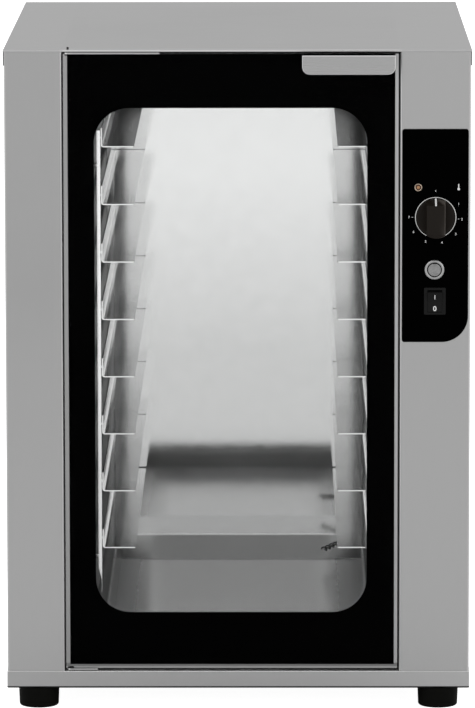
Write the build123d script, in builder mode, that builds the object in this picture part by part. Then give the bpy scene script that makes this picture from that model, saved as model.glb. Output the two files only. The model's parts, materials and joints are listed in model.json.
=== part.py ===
"""Cabinet proofer with a full-height glass door, built piece by piece.

Millimetres, +Z up, front of the cabinet towards -Y.
The origin is on the ground, midway between the sides, the front and the back.
"""
import os
from math import cos, radians, sin

from build123d import *

os.makedirs("parts", exist_ok=True)

# ---------------------------------------------------------------- driving dimensions
WIDTH = 600.0            # over the lid's side flanges
DEPTH = 690.0            # front of the glass to the back of the lid
BODY_HEIGHT = 831.0      # underside of the base pan to the top of the lid
FOOT_HEIGHT = 26.5
SHEET = 1.2              # steel sheet of the housing
BEND = 1.2               # inside radius of a folded edge
LID_FLANGE = 20.0        # how far the lid folds down over the sides
HEM = 12.0
RAIL_HEIGHT = 22.5       # folded rim of the base pan
PAN_BEND = 2.0           # outside radius where the pan's floor turns up
PROUD = 24.0             # knob, handle and cable gland stand this far out

LEFT_COLUMN_EDGE = -224.8
RIGHT_COLUMN_EDGE = 208.1
HINGE_SIDE_GAP = 1.1     # between the closed door and the column beside it
LATCH_SIDE_GAP = 1.45    # the door's rear corner swings out past its edge
RAIL_GAP = 2.9           # under the door
COLUMN_SEAM = 0.3        # between a column and the base pan below it
DOOR_DEPTH = 40.0
SEAL_SPACE = 8.0         # between the closed door and the frame it shuts on

GLASS = 5.5
ENAMEL = 0.4             # black border fired on the back of the glass, with its hairline bond
ENAMEL_BOND = 0.05
GLASS_INSET = 6.05       # the glass is smaller than the steel door behind it
GLASS_INSET_RIGHT = 4.9
GLASS_ABOVE_DOOR_BOTTOM = 6.2
GLASS_BELOW_DOOR_TOP = 0.05
DOOR_BELOW_TOP = 5.55
WINDOW_LEFT = -184.0
WINDOW_RIGHT = 166.2
WINDOW_BOTTOM = 125.7
WINDOW_TOP = 782.3
WINDOW_RADIUS = 45.0

CAVITY_CENTRE = -2.5
CAVITY_WIDTH = 368.6
CAVITY_FLOOR = 106.9      # at the back wall
FLOOR_FALL = 9.9         # the floor is lower by this at the front, so that water drains
CAVITY_CEILING = 802.5
CAVITY_DEPTH = 618.0
COVE = 15.0              # rounded corner between the cavity's floor and walls
BASIN_DEPTH = 1.0        # shallow basin pressed in the floor
BASIN_REAR_STRIP = 165.8 # plain floor left behind the basin

LEVELS = 8
LEVEL_PITCH = 75.0
LOWEST_RUNNER = 201.6
RACK_WIDTH = 348.2       # between the outer faces of the two rows of runners
RUNNER_LEDGE = 43.0
RUNNER_UPSTAND = 25.0
RUNNER_SHEET = 1.5
RUNNER_CORNER = 3.0
POST_WIDTH = 4.4
POST_DEPTH = 15.0
POST_BOTTOM = 162.5
POST_TOP = 748.2
POST_GAP = 1.1           # between a post and the runners that hook onto it
POST_TAPER = 12.0        # the lower outer corner of a post is cut at a slant
POST_TAIL_END = 143.0    # thin tail that a post stands on
POST_TAIL = 1.0

FASCIA_LEFT = 210.8
FASCIA_RIGHT = 295.8
FASCIA_BOTTOM = 480.5
FASCIA_TOP = 755.9
FASCIA_THICKNESS = 1.0

KNOB_X, KNOB_Z = 253.7, 642.5
KNOB_RADIUS = 26.5
LAMP_X, LAMP_Z = 231.5, 680.7
LAMP_RADIUS = 5.2
BUTTON_X, BUTTON_Z = 252.5, 574.3
BUTTON_RADIUS = 8.6
BUTTON_TRAVEL = 3.0
BEZEL_RADIUS = 13.0
ROCKER_X, ROCKER_Z = 253.1, 533.7
ROCKER_TILT = 10.0       # each way from the middle of its travel

HINGE_X = -217.0
HINGE_BEHIND_GLASS = 7.5
HINGE_PIN_RADIUS = 2.5
HINGE_PIN_TIP_RADIUS = 1.4
HINGE_PLATE_RADIUS = 5.5
RUNNING_CLEARANCE = 0.05

FOOT_X = 259.4
FOOT_Y = 320.0
FOOT_RADIUS = 26.4       # at the top of the foot
TREAD_RADIUS = 25.5      # the foot narrows a little towards the ground
TREAD_CORNER = 3.0
STUD_RADIUS = 4.0
STUD_START = 8.0
STUD_LENGTH = 34.0
STUD_NUT_RADIUS = 7.5
STUD_NUT_HEIGHT = 6.5

GLAND_X, GLAND_Z = 250.0, 92.5
GLAND_BORE = 4.5
GLAND_THREAD = 10.0

SCREW_X = 290.0
SCREW_HEIGHTS = (72.5, 302.5, 562.5, 802.5)
SCREW_SHANK = 1.9
SCREW_HEAD = 3.8
SCREW_HEAD_HEIGHT = 2.2
BUSHING_RADIUS = 4.9
LAMP_BODY_RADIUS = 4.4
BUTTON_BODY_RADIUS = 11.0
SWITCH_BODY_WIDTH = 24.0
SWITCH_BODY_HEIGHT = 31.6

# ---------------------------------------------------------------- places worked out from them
FRONT = -DEPTH / 2
BACK = DEPTH / 2
BOTTOM = FOOT_HEIGHT
TOP = FOOT_HEIGHT + BODY_HEIGHT
LID_UNDERSIDE = TOP - SHEET
HEM_UNDERSIDE = LID_UNDERSIDE - SHEET    # the lid's front edge is folded back under itself
PAN_FLOOR = BOTTOM + SHEET
RAIL_TOP = BOTTOM + RAIL_HEIGHT
SIDE = WIDTH / 2 - SHEET                 # outer face of a side panel, inside the lid's flange
BACK_PANEL = BACK - SHEET                # outer face of the back panel
SEAT = FRONT + DOOR_DEPTH + SEAL_SPACE   # frame that the door shuts on

DOOR_LEFT = LEFT_COLUMN_EDGE + HINGE_SIDE_GAP
DOOR_RIGHT = RIGHT_COLUMN_EDGE - LATCH_SIDE_GAP
DOOR_BOTTOM = RAIL_TOP + RAIL_GAP
DOOR_TOP = TOP - DOOR_BELOW_TOP
DOOR_BACK = FRONT + DOOR_DEPTH
GLASS_BACK = FRONT + GLASS
STEEL_FRONT = GLASS_BACK + ENAMEL
GLASS_LEFT = DOOR_LEFT + GLASS_INSET
GLASS_RIGHT = DOOR_RIGHT - GLASS_INSET_RIGHT
GLASS_BOTTOM = DOOR_BOTTOM + GLASS_ABOVE_DOOR_BOTTOM
GLASS_TOP = DOOR_TOP - GLASS_BELOW_DOOR_TOP
WINDOW_X = (WINDOW_LEFT + WINDOW_RIGHT) / 2
WINDOW_Z = (WINDOW_BOTTOM + WINDOW_TOP) / 2
WINDOW_WIDTH = WINDOW_RIGHT - WINDOW_LEFT
WINDOW_HEIGHT = WINDOW_TOP - WINDOW_BOTTOM
TUNNEL_MARGIN = 6.0                      # steel lining of the window, outside the clear area
HINGE_Y = FRONT + HINGE_BEHIND_GLASS

CAVITY_LEFT = CAVITY_CENTRE - CAVITY_WIDTH / 2
CAVITY_RIGHT = CAVITY_CENTRE + CAVITY_WIDTH / 2
CAVITY_BACK = SEAT + CAVITY_DEPTH
RACK_FRONT = SEAT + 4.0
RACK_BACK = CAVITY_BACK - 7.0
FASCIA_FRONT = FRONT - FASCIA_THICKNESS
COLUMN_BACK = FRONT + SHEET              # inner face of a front column


def front_plane(y):
    """A sketch plane facing the front: sketch x is X, sketch y is Z."""
    return Plane.XZ.offset(-y)


def save(builder, name):
    """Label a finished piece and write it to its own file."""
    builder.part.label = name
    export_step(builder.part, f"parts/{name}.step")


def slab(x, y, z, mode=Mode.ADD):
    """A box given by its low and high X, Y and Z, in the part block that calls it."""
    centre = ((x[0] + x[1]) / 2, (y[0] + y[1]) / 2, (z[0] + z[1]) / 2)
    with Locations(centre):
        Box(x[1] - x[0], y[1] - y[0], z[1] - z[0], mode=mode)


def rod(centre, direction, radius, length, mode=Mode.ADD):
    """A cylinder that starts at a centre point and runs along a direction."""
    with Locations(Plane(origin=centre, z_dir=direction).location):
        Cylinder(radius, length, align=(Align.CENTER, Align.CENTER, Align.MIN), mode=mode)


# ---------------------------------------------------------------- housing
def side_panel(name, side, column_edge, cutouts=None):
    """Side sheet, front column and its return to the door seat, folded from one blank."""
    route = [
        (column_edge, SEAT),
        (column_edge, FRONT),
        (side * SIDE, FRONT),
        (side * SIDE, BACK_PANEL - SHEET),
        (side * (SIDE - 18), BACK_PANEL - SHEET),
    ]
    inner = Side.LEFT if side > 0 else Side.RIGHT
    with BuildPart() as panel:
        with BuildSketch(Plane.XY.offset(PAN_FLOOR)):
            with BuildLine():
                FilletPolyline(*route, radius=BEND + SHEET)
                offset(amount=SHEET, side=inner)
            make_face()
        extrude(amount=HEM_UNDERSIDE - COLUMN_SEAM - PAN_FLOOR)
        front_of_pan = sorted((side * (SIDE + 1), column_edge - side))
        slab(front_of_pan, (FRONT - 1, COLUMN_BACK), (PAN_FLOOR - 1, RAIL_TOP + COLUMN_SEAM), Mode.SUBTRACT)
        for z in SCREW_HEIGHTS:
            rod((side * SCREW_X, BACK_PANEL - 10, z), (0, 1, 0), SCREW_SHANK, 20, Mode.SUBTRACT)
        if cutouts:
            cutouts()
    save(panel, name)


def control_cutouts():
    """Holes through the front column for the controls."""
    start = FRONT - 5
    reach = 10
    rod((KNOB_X, start, KNOB_Z), (0, 1, 0), BUSHING_RADIUS + 0.1, reach, Mode.SUBTRACT)
    rod((LAMP_X, start, LAMP_Z), (0, 1, 0), LAMP_BODY_RADIUS, reach, Mode.SUBTRACT)
    rod((BUTTON_X, start, BUTTON_Z), (0, 1, 0), BUTTON_BODY_RADIUS, reach, Mode.SUBTRACT)
    half_width = SWITCH_BODY_WIDTH / 2
    half_height = SWITCH_BODY_HEIGHT / 2
    slab((ROCKER_X - half_width, ROCKER_X + half_width), (start, start + reach),
         (ROCKER_Z - half_height, ROCKER_Z + half_height), Mode.SUBTRACT)


side_panel("left_side_panel", -1, LEFT_COLUMN_EDGE)
side_panel("right_side_panel", 1, RIGHT_COLUMN_EDGE, control_cutouts)

# Lid: a shallow tray turned over, open at the front, where the door closes under its edge.
with BuildPart() as top_lid:
    slab((-WIDTH / 2, WIDTH / 2), (FRONT, BACK), (LID_UNDERSIDE, TOP))
    for side in (-1, 1):
        flange = sorted((side * WIDTH / 2, side * SIDE))
        slab(flange, (FRONT, BACK), (TOP - LID_FLANGE, LID_UNDERSIDE))
    slab((-SIDE, SIDE), (BACK_PANEL, BACK), (TOP - LID_FLANGE, LID_UNDERSIDE))
    slab((-SIDE, SIDE), (FRONT, FRONT + HEM), (HEM_UNDERSIDE, LID_UNDERSIDE))
    outer_edges = top_lid.edges().group_by(Axis.Z)[-1]
    fillet(outer_edges, radius=SHEET * 0.9)
    rod((HINGE_X, HINGE_Y, TOP - 5), (0, 0, 1), HINGE_PIN_TIP_RADIUS, 10, Mode.SUBTRACT)
save(top_lid, "top_lid")

# Base pan: floor, rims outside the side and back panels, and the front rail under the door.
with BuildPart() as base_pan:
    slab((-WIDTH / 2, WIDTH / 2), (FRONT, BACK), (BOTTOM, PAN_FLOOR))
    for side in (-1, 1):
        rim = sorted((side * WIDTH / 2, side * SIDE))
        slab(rim, (FRONT, BACK), (PAN_FLOOR, RAIL_TOP))
    slab((-SIDE, SIDE), (BACK_PANEL, BACK), (PAN_FLOOR, RAIL_TOP))
    slab((-SIDE, SIDE), (FRONT, COLUMN_BACK), (PAN_FLOOR, RAIL_TOP))
    rail_shelf = (LEFT_COLUMN_EDGE + SHEET, RIGHT_COLUMN_EDGE - SHEET)
    slab(rail_shelf, (COLUMN_BACK, SEAT), (RAIL_TOP - SHEET, RAIL_TOP))
    front_corners = base_pan.edges().filter_by(Axis.Z).group_by(Axis.Y)[0]
    fillet(front_corners, radius=SHEET * 0.9)
    rail_edge = base_pan.edges().filter_by(Axis.X).group_by(Axis.Z)[-1].sort_by(Axis.Y)[0]
    fillet(rail_edge, radius=SHEET * 0.6)
    underside = base_pan.faces().sort_by(Axis.Z)[0].outer_wire().edges()
    fillet(underside, radius=PAN_BEND)
    rod((HINGE_X, HINGE_Y, RAIL_TOP - 5), (0, 0, 1), HINGE_PIN_RADIUS, 10, Mode.SUBTRACT)
    for x in (-FOOT_X, FOOT_X):
        for y in (-FOOT_Y, FOOT_Y):
            rod((x, y, BOTTOM - 5), (0, 0, 1), STUD_RADIUS, 10, Mode.SUBTRACT)
save(base_pan, "base_pan")

# Back panel, with cooling slots behind the controls and a hole for the cable gland.
SLOT_COUNT = 10
SLOT_PITCH = 14.0
SLOT_LENGTH = 70.0
SLOT_WIDTH = 3.2
SLOTS_CENTRE = (240.0, 622.5)
with BuildPart() as back_panel:
    slab((-SIDE, SIDE), (BACK_PANEL - SHEET, BACK_PANEL), (PAN_FLOOR, LID_UNDERSIDE))
    with BuildSketch(front_plane(BACK_PANEL - SHEET)):
        with Locations(SLOTS_CENTRE):
            with GridLocations(0, SLOT_PITCH, 1, SLOT_COUNT):
                SlotOverall(SLOT_LENGTH, SLOT_WIDTH)
    extrude(amount=-SHEET, mode=Mode.SUBTRACT)
    rod((GLAND_X, BACK_PANEL - 5, GLAND_Z), (0, 1, 0), GLAND_THREAD, 10, Mode.SUBTRACT)
    for side in (-1, 1):
        for z in SCREW_HEIGHTS:
            rod((side * SCREW_X, BACK_PANEL - 5, z), (0, 1, 0), SCREW_SHANK, 10, Mode.SUBTRACT)
save(back_panel, "back_panel")

# Screws that hold the back panel to the side panels' folded edges.
with BuildPart() as case_screws:
    for side in (-1, 1):
        for z in SCREW_HEIGHTS:
            rod((side * SCREW_X, BACK_PANEL - 9, z), (0, 1, 0), SCREW_SHANK, 9)
            with BuildSketch(Plane.XZ.offset(-BACK_PANEL)):
                with Locations((side * SCREW_X, z)):
                    Circle(SCREW_HEAD)
            extrude(amount=-SCREW_HEAD_HEIGHT)
    head_rims = case_screws.edges().filter_by(GeomType.CIRCLE).group_by(Axis.Y)[-1]
    fillet(head_rims, radius=1.4)
save(case_screws, "case_screws")

# ---------------------------------------------------------------- feet
def foot(name, x, y):
    """A round foot, slightly narrower towards the ground, with a blind hole for its stud."""
    with BuildPart() as piece:
        with BuildSketch(Plane(origin=(x, y, 0), x_dir=(1, 0, 0), z_dir=(0, -1, 0))):
            with BuildLine():
                Line((0, 0), (TREAD_RADIUS - TREAD_CORNER, 0))
                TangentArc((TREAD_RADIUS - TREAD_CORNER, 0), (TREAD_RADIUS, TREAD_CORNER), tangent=(1, 0))
                Polyline((TREAD_RADIUS, TREAD_CORNER), (FOOT_RADIUS, FOOT_HEIGHT), (0, FOOT_HEIGHT), (0, 0))
            make_face()
        revolve(axis=Axis((x, y, 0), (0, 0, 1)))
        rod((x, y, STUD_START), (0, 0, 1), STUD_RADIUS, FOOT_HEIGHT, Mode.SUBTRACT)
    save(piece, name)


foot("front_left_foot", -FOOT_X, -FOOT_Y)
foot("front_right_foot", FOOT_X, -FOOT_Y)
foot("rear_left_foot", -FOOT_X, FOOT_Y)
foot("rear_right_foot", FOOT_X, FOOT_Y)

# Threaded studs that carry the feet, each with its nut inside the pan.
with BuildPart() as foot_studs:
    with BuildSketch(Plane.XY.offset(STUD_START)):
        with GridLocations(2 * FOOT_X, 2 * FOOT_Y, 2, 2):
            Circle(STUD_RADIUS)
    extrude(amount=STUD_LENGTH)
    with BuildSketch(Plane.XY.offset(PAN_FLOOR)):
        with GridLocations(2 * FOOT_X, 2 * FOOT_Y, 2, 2):
            RegularPolygon(STUD_NUT_RADIUS, 6)
    extrude(amount=STUD_NUT_HEIGHT)
save(foot_studs, "foot_studs")

# ---------------------------------------------------------------- heated cavity
SEAT_TOP = 848.5


def cavity_wall(name, side, wall_x, seat_x):
    """Side wall of the cavity, folded outwards at the front as the door's seat."""
    route = [
        (seat_x, SEAT + SHEET),
        (wall_x + side * SHEET, SEAT + SHEET),
        (wall_x + side * SHEET, CAVITY_BACK),
    ]
    outer = Side.RIGHT if side < 0 else Side.LEFT
    with BuildPart() as wall:
        with BuildSketch(Plane.XY.offset(CAVITY_FLOOR + COVE)):
            with BuildLine():
                FilletPolyline(*route, radius=BEND)
                offset(amount=SHEET, side=outer)
            make_face()
        extrude(amount=CAVITY_CEILING - CAVITY_FLOOR - COVE)
    save(wall, name)


LEFT_SEAT_EDGE = LEFT_COLUMN_EDGE + SHEET
RIGHT_SEAT_EDGE = RIGHT_COLUMN_EDGE - SHEET
cavity_wall("cavity_left_wall", -1, CAVITY_LEFT, LEFT_SEAT_EDGE)
cavity_wall("cavity_right_wall", 1, CAVITY_RIGHT, RIGHT_SEAT_EDGE)

with BuildPart() as cavity_ceiling:
    ceiling = (CAVITY_CEILING, CAVITY_CEILING + SHEET)
    slab((CAVITY_LEFT - SHEET, CAVITY_RIGHT + SHEET), (SEAT, CAVITY_BACK), ceiling)
    slab((LEFT_SEAT_EDGE, RIGHT_SEAT_EDGE), (SEAT, SEAT + SHEET), (CAVITY_CEILING, SEAT_TOP))
save(cavity_ceiling, "cavity_ceiling")

# Floor: falls towards the front, is rounded up into both walls, has a shallow basin and is folded
# down at the front.
FLOOR_FRONT = CAVITY_FLOOR - FLOOR_FALL
COVE_TOP = CAVITY_FLOOR + COVE
fall_line = Vector(0, CAVITY_DEPTH, FLOOR_FALL)


def floor_level(y):
    """Height of the floor's upper face at a place along its depth."""
    return CAVITY_FLOOR - FLOOR_FALL * (CAVITY_BACK - y) / CAVITY_DEPTH


with BuildPart() as cavity_floor:
    with BuildSketch(front_plane(SEAT)):
        with BuildLine():
            FilletPolyline(
                (CAVITY_LEFT, COVE_TOP + SHEET),
                (CAVITY_LEFT, FLOOR_FRONT),
                (CAVITY_RIGHT, FLOOR_FRONT),
                (CAVITY_RIGHT, COVE_TOP + SHEET),
                radius=COVE,
            )
            offset(amount=SHEET, side=Side.RIGHT)
        make_face()
    extrude(amount=fall_line.length, dir=fall_line)
    above_cove = (COVE_TOP, COVE_TOP + 2 * FLOOR_FALL)
    slab((CAVITY_LEFT - 5, CAVITY_RIGHT + 5), (SEAT - 5, CAVITY_BACK + 5), above_cove, Mode.SUBTRACT)
    basin_y = (SEAT + 20, CAVITY_BACK - BASIN_REAR_STRIP)
    basin_x = (CAVITY_LEFT + COVE + 6, CAVITY_RIGHT - COVE - 6)
    hollow_y = (basin_y[0] + SHEET, basin_y[1] - SHEET)
    hollow_x = (basin_x[0] + SHEET, basin_x[1] - SHEET)
    for x, y, low, high, mode in (
        (basin_x, basin_y, -BASIN_DEPTH - SHEET, -SHEET / 2, Mode.ADD),
        (hollow_x, hollow_y, -BASIN_DEPTH, SHEET, Mode.SUBTRACT),
    ):
        with BuildSketch(front_plane(y[0])):
            with Locations(((x[0] + x[1]) / 2, floor_level(y[0]) + (low + high) / 2)):
                Rectangle(x[1] - x[0], high - low)
        extrude(amount=(y[1] - y[0]) * fall_line.length / CAVITY_DEPTH, dir=fall_line, mode=mode)
    folded_edge = (SEAT, SEAT + SHEET)
    slab((LEFT_SEAT_EDGE, RIGHT_SEAT_EDGE), folded_edge, (RAIL_TOP, FLOOR_FRONT - SHEET / 2))
    for seat_x, wall_x in ((LEFT_SEAT_EDGE, CAVITY_LEFT), (RIGHT_SEAT_EDGE, CAVITY_RIGHT)):
        slab(sorted((seat_x, wall_x)), folded_edge, (RAIL_TOP, COVE_TOP))
save(cavity_floor, "cavity_floor")

with BuildPart() as cavity_back_wall:
    slab((CAVITY_LEFT - SHEET, CAVITY_RIGHT + SHEET), (CAVITY_BACK, CAVITY_BACK + SHEET),
         (CAVITY_FLOOR - SHEET, CAVITY_CEILING + SHEET))
save(cavity_back_wall, "cavity_back_wall")

# Mineral wool around the cavity.
WOOL = 25.0
BACK_WOOL = 19.0
WOOL_GAP = 0.5
wool_y = (SEAT + SHEET + WOOL_GAP, CAVITY_BACK)
wool_z = (CAVITY_FLOOR + COVE, CAVITY_CEILING)
with BuildPart() as insulation_sides:
    for side, wall_x in ((-1, CAVITY_LEFT), (1, CAVITY_RIGHT)):
        near = wall_x + side * (SHEET + WOOL_GAP)
        slab(sorted((near, near + side * WOOL)), wool_y, wool_z)
save(insulation_sides, "insulation_sides")

with BuildPart() as insulation_top:
    roof = CAVITY_CEILING + SHEET + WOOL_GAP
    slab((CAVITY_LEFT, CAVITY_RIGHT), wool_y, (roof, roof + WOOL))
save(insulation_top, "insulation_top")

with BuildPart() as insulation_back:
    behind = CAVITY_BACK + SHEET + WOOL_GAP
    slab((CAVITY_LEFT, CAVITY_RIGHT), (behind, behind + BACK_WOOL), wool_z)
save(insulation_back, "insulation_back")

# Tubular heater under the basin, bent to a U, with its two ends in the control compartment.
HEATER_RADIUS = 4.0
HEATER_Z = FLOOR_FRONT - BASIN_DEPTH - SHEET - HEATER_RADIUS - 0.5
HEATER_LEFT, HEATER_ENDS = -140.0, 230.0
HEATER_FRONT, HEATER_REAR = -110.0, 60.0
HEATER_BEND = 35.0
with BuildPart() as heating_element:
    with BuildLine() as heater_route:
        FilletPolyline(
            (HEATER_ENDS, HEATER_FRONT, HEATER_Z),
            (HEATER_LEFT, HEATER_FRONT, HEATER_Z),
            (HEATER_LEFT, HEATER_REAR, HEATER_Z),
            (HEATER_ENDS, HEATER_REAR, HEATER_Z),
            radius=HEATER_BEND,
        )
    with BuildSketch(Plane(origin=(HEATER_ENDS, HEATER_FRONT, HEATER_Z), z_dir=(-1, 0, 0))):
        Circle(HEATER_RADIUS)
    sweep(path=heater_route.line)
save(heating_element, "heating_element")

# ---------------------------------------------------------------- tray rack
RACK_LEFT = CAVITY_CENTRE - RACK_WIDTH / 2
RACK_RIGHT = CAVITY_CENTRE + RACK_WIDTH / 2
POST_STUD_RADIUS = 3.0
POST_STUDS = (190.0, 702.5)
HOOK_RADIUS = 2.5
HOOK_ABOVE_LEDGE = 12.5
POST_FRONT = RACK_FRONT + 2


def post_outline(side, bar_face):
    """Front view of a post: a flat bar cut at a slant at its lower outer corner, on a thin tail."""
    bar_back = bar_face + side * POST_WIDTH
    tail_back = bar_face + side * POST_TAIL
    return [
        (bar_face, POST_TOP),
        (bar_face, POST_TAIL_END),
        (tail_back, POST_TAIL_END),
        (tail_back, POST_BOTTOM),
        (bar_back, POST_BOTTOM + POST_TAPER),
        (bar_back, POST_TOP),
    ]


def post_fixings(side, runner_x, wall_x, y):
    """Studs that hold a post off the cavity wall, and the hooks that its runners hang on."""
    bar_back = runner_x + side * (POST_GAP + POST_WIDTH)
    for z in POST_STUDS:
        rod((bar_back, y, z), (side, 0, 0), POST_STUD_RADIUS, abs(wall_x - bar_back))
    for level in range(LEVELS):
        hook_z = LOWEST_RUNNER + level * LEVEL_PITCH + HOOK_ABOVE_LEDGE
        rod((runner_x, y, hook_z), (side, 0, 0), HOOK_RADIUS, POST_GAP)


with BuildPart() as rack_posts:
    for side, runner_x, wall_x in ((-1, RACK_LEFT, CAVITY_LEFT), (1, RACK_RIGHT, CAVITY_RIGHT)):
        for y in (POST_FRONT, RACK_BACK - POST_DEPTH - 2):
            with BuildSketch(front_plane(y)):
                with BuildLine():
                    Polyline(*post_outline(side, runner_x + side * POST_GAP), close=True)
                make_face()
            extrude(amount=-POST_DEPTH)
            post_fixings(side, runner_x, wall_x, y + POST_DEPTH / 2)
save(rack_posts, "rack_posts")


def runner(name, side, face_x, z):
    """Angle that carries one edge of a tray: a ledge with an upstand along the post."""
    route = [
        (face_x, z + RUNNER_UPSTAND),
        (face_x, z),
        (face_x - side * RUNNER_LEDGE, z),
    ]
    upper = Side.LEFT if side < 0 else Side.RIGHT
    with BuildPart() as piece:
        with BuildSketch(front_plane(RACK_FRONT)):
            with BuildLine():
                FilletPolyline(*route, radius=3.5)
                offset(amount=RUNNER_SHEET, side=upper)
            make_face()
        extrude(amount=-(RACK_BACK - RACK_FRONT))
        ledge_corners = piece.edges().filter_by(Axis.Z).group_by(Axis.Z)[0]
        fillet(ledge_corners, radius=RUNNER_CORNER)
    save(piece, name)


for level in range(LEVELS):
    runner_z = LOWEST_RUNNER + level * LEVEL_PITCH
    runner(f"left_runner_{level + 1}", -1, RACK_LEFT, runner_z)
    runner(f"right_runner_{level + 1}", 1, RACK_RIGHT, runner_z)

# ---------------------------------------------------------------- door
def window_sketch(margin):
    """The window's rounded rectangle, made larger by a margin, in the sketch that calls it."""
    with Locations((WINDOW_X, WINDOW_Z)):
        RectangleRounded(WINDOW_WIDTH + 2 * margin, WINDOW_HEIGHT + 2 * margin, WINDOW_RADIUS + margin,
                         mode=Mode.SUBTRACT)


def panel_sketch(left, right, bottom, top):
    """A plain rectangle from its edges, in the sketch that calls it."""
    with Locations(((left + right) / 2, (bottom + top) / 2)):
        Rectangle(right - left, top - bottom)


HANDLE_LEFT = 82.5
HANDLE_RIGHT = 201.7
HANDLE_BOTTOM = 827.8
HANDLE_TOP = 852.3
HANDLE_SHEET = 2.0
HANDLE_CORNER = 10.0
HANDLE_FRONT = FRONT - PROUD
STANDOFFS = (104.0, 180.0)
STANDOFF_Z = 840.0
STANDOFF_RADIUS = 5.0
HANDLE_SCREW = 2.5


def handle_screw_holes():
    """Clearance holes for the handle's two screws."""
    for x in STANDOFFS:
        rod((x, FRONT - 1, STANDOFF_Z), (0, 1, 0), HANDLE_SCREW + 0.4, DOOR_DEPTH - 4, Mode.SUBTRACT)


with BuildPart() as door_glass:
    with BuildSketch(front_plane(FRONT)):
        panel_sketch(GLASS_LEFT, GLASS_RIGHT, GLASS_BOTTOM, GLASS_TOP)
    extrude(amount=-GLASS)
    handle_screw_holes()
    polished = door_glass.edges().group_by(Axis.Y)[0].filter_by(GeomType.LINE)
    chamfer(polished, length=0.4)
save(door_glass, "door_glass")

with BuildPart() as glass_border:
    with BuildSketch(front_plane(GLASS_BACK + ENAMEL_BOND)):
        panel_sketch(GLASS_LEFT, GLASS_RIGHT, GLASS_BOTTOM, GLASS_TOP)
        window_sketch(0)
    extrude(amount=ENAMEL_BOND - ENAMEL)
    handle_screw_holes()
save(glass_border, "glass_border")

# Outer door pan: a face behind the glass with walls turned back all round.
PIN_POCKET = 4.0
with BuildPart() as door_frame:
    with BuildSketch(front_plane(STEEL_FRONT)):
        panel_sketch(DOOR_LEFT, DOOR_RIGHT, DOOR_BOTTOM, DOOR_TOP)
    extrude(amount=-(DOOR_BACK - SHEET - STEEL_FRONT))
    upright = door_frame.edges().filter_by(Axis.Z).group_by(Axis.Y)[0]
    fillet(upright, radius=1.0)
    with BuildSketch(front_plane(STEEL_FRONT + SHEET)):
        panel_sketch(DOOR_LEFT + SHEET, DOOR_RIGHT - SHEET, DOOR_BOTTOM + SHEET, DOOR_TOP - SHEET)
    extrude(amount=-DOOR_DEPTH, mode=Mode.SUBTRACT)
    with BuildSketch(front_plane(STEEL_FRONT)):
        with Locations((WINDOW_X, WINDOW_Z)):
            RectangleRounded(WINDOW_WIDTH + 2 * TUNNEL_MARGIN, WINDOW_HEIGHT + 2 * TUNNEL_MARGIN,
                             WINDOW_RADIUS + TUNNEL_MARGIN)
    extrude(amount=-SHEET, mode=Mode.SUBTRACT)
    handle_screw_holes()
    for pocket_z in (DOOR_BOTTOM, DOOR_TOP):
        slab((HINGE_X - PIN_POCKET, HINGE_X + PIN_POCKET), (STEEL_FRONT, HINGE_Y + PIN_POCKET),
             (pocket_z - 2 * SHEET, pocket_z + 2 * SHEET), Mode.SUBTRACT)
save(door_frame, "door_frame")

# Inner door panel: closes the pan from behind and lines the window.
with BuildPart() as door_liner:
    with BuildSketch(front_plane(DOOR_BACK)):
        panel_sketch(DOOR_LEFT, DOOR_RIGHT, DOOR_BOTTOM, DOOR_TOP)
        window_sketch(TUNNEL_MARGIN)
    extrude(amount=SHEET)
    with BuildSketch(front_plane(DOOR_BACK - SHEET)):
        with Locations((WINDOW_X, WINDOW_Z)):
            wide = TUNNEL_MARGIN + SHEET
            RectangleRounded(WINDOW_WIDTH + 2 * wide, WINDOW_HEIGHT + 2 * wide, WINDOW_RADIUS + wide)
        window_sketch(TUNNEL_MARGIN)
    extrude(amount=DOOR_BACK - 2 * SHEET - STEEL_FRONT)
save(door_liner, "door_liner")

# Soft seal around the cavity's mouth, carried by the door.
SEAL_WIDTH = 10.0
SEAL_NIP = 0.3
SEAL_LEFT = CAVITY_LEFT - 14.0
SEAL_RIGHT = CAVITY_RIGHT + 14.0
SEAL_BOTTOM = CAVITY_FLOOR - 22.0
SEAL_TOP = CAVITY_CEILING + 22.0
with BuildPart() as door_gasket:
    with BuildSketch(front_plane(DOOR_BACK)):
        with Locations(((SEAL_LEFT + SEAL_RIGHT) / 2, (SEAL_BOTTOM + SEAL_TOP) / 2)):
            RectangleRounded(SEAL_RIGHT - SEAL_LEFT, SEAL_TOP - SEAL_BOTTOM, 22)
            RectangleRounded(SEAL_RIGHT - SEAL_LEFT - 2 * SEAL_WIDTH,
                             SEAL_TOP - SEAL_BOTTOM - 2 * SEAL_WIDTH, 12, mode=Mode.SUBTRACT)
    extrude(amount=-(SEAL_SPACE - SEAL_NIP))
    lip = door_gasket.faces().sort_by(Axis.Y)[-1].edges()
    fillet(lip, radius=3.0)
save(door_gasket, "door_gasket")

# Handle: a bent plate with rounded lower corners on two round stand-offs.
with BuildPart() as door_handle:
    with BuildSketch(front_plane(HANDLE_FRONT)):
        panel_sketch(HANDLE_LEFT, HANDLE_RIGHT, HANDLE_BOTTOM, HANDLE_TOP)
    extrude(amount=-HANDLE_SHEET)
    lower_corners = door_handle.edges().filter_by(Axis.Y).group_by(Axis.Z)[0]
    fillet(lower_corners, radius=HANDLE_CORNER)
    front_outline = door_handle.faces().sort_by(Axis.Y)[0].edges()
    fillet(front_outline, radius=HANDLE_SHEET * 0.5)
    for x in STANDOFFS:
        rod((x, HANDLE_FRONT + HANDLE_SHEET, STANDOFF_Z), (0, 1, 0), STANDOFF_RADIUS,
            PROUD - HANDLE_SHEET)
        rod((x, HANDLE_FRONT + HANDLE_SHEET + 4, STANDOFF_Z), (0, 1, 0), HANDLE_SCREW, PROUD,
            Mode.SUBTRACT)
save(door_handle, "door_handle")

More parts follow.
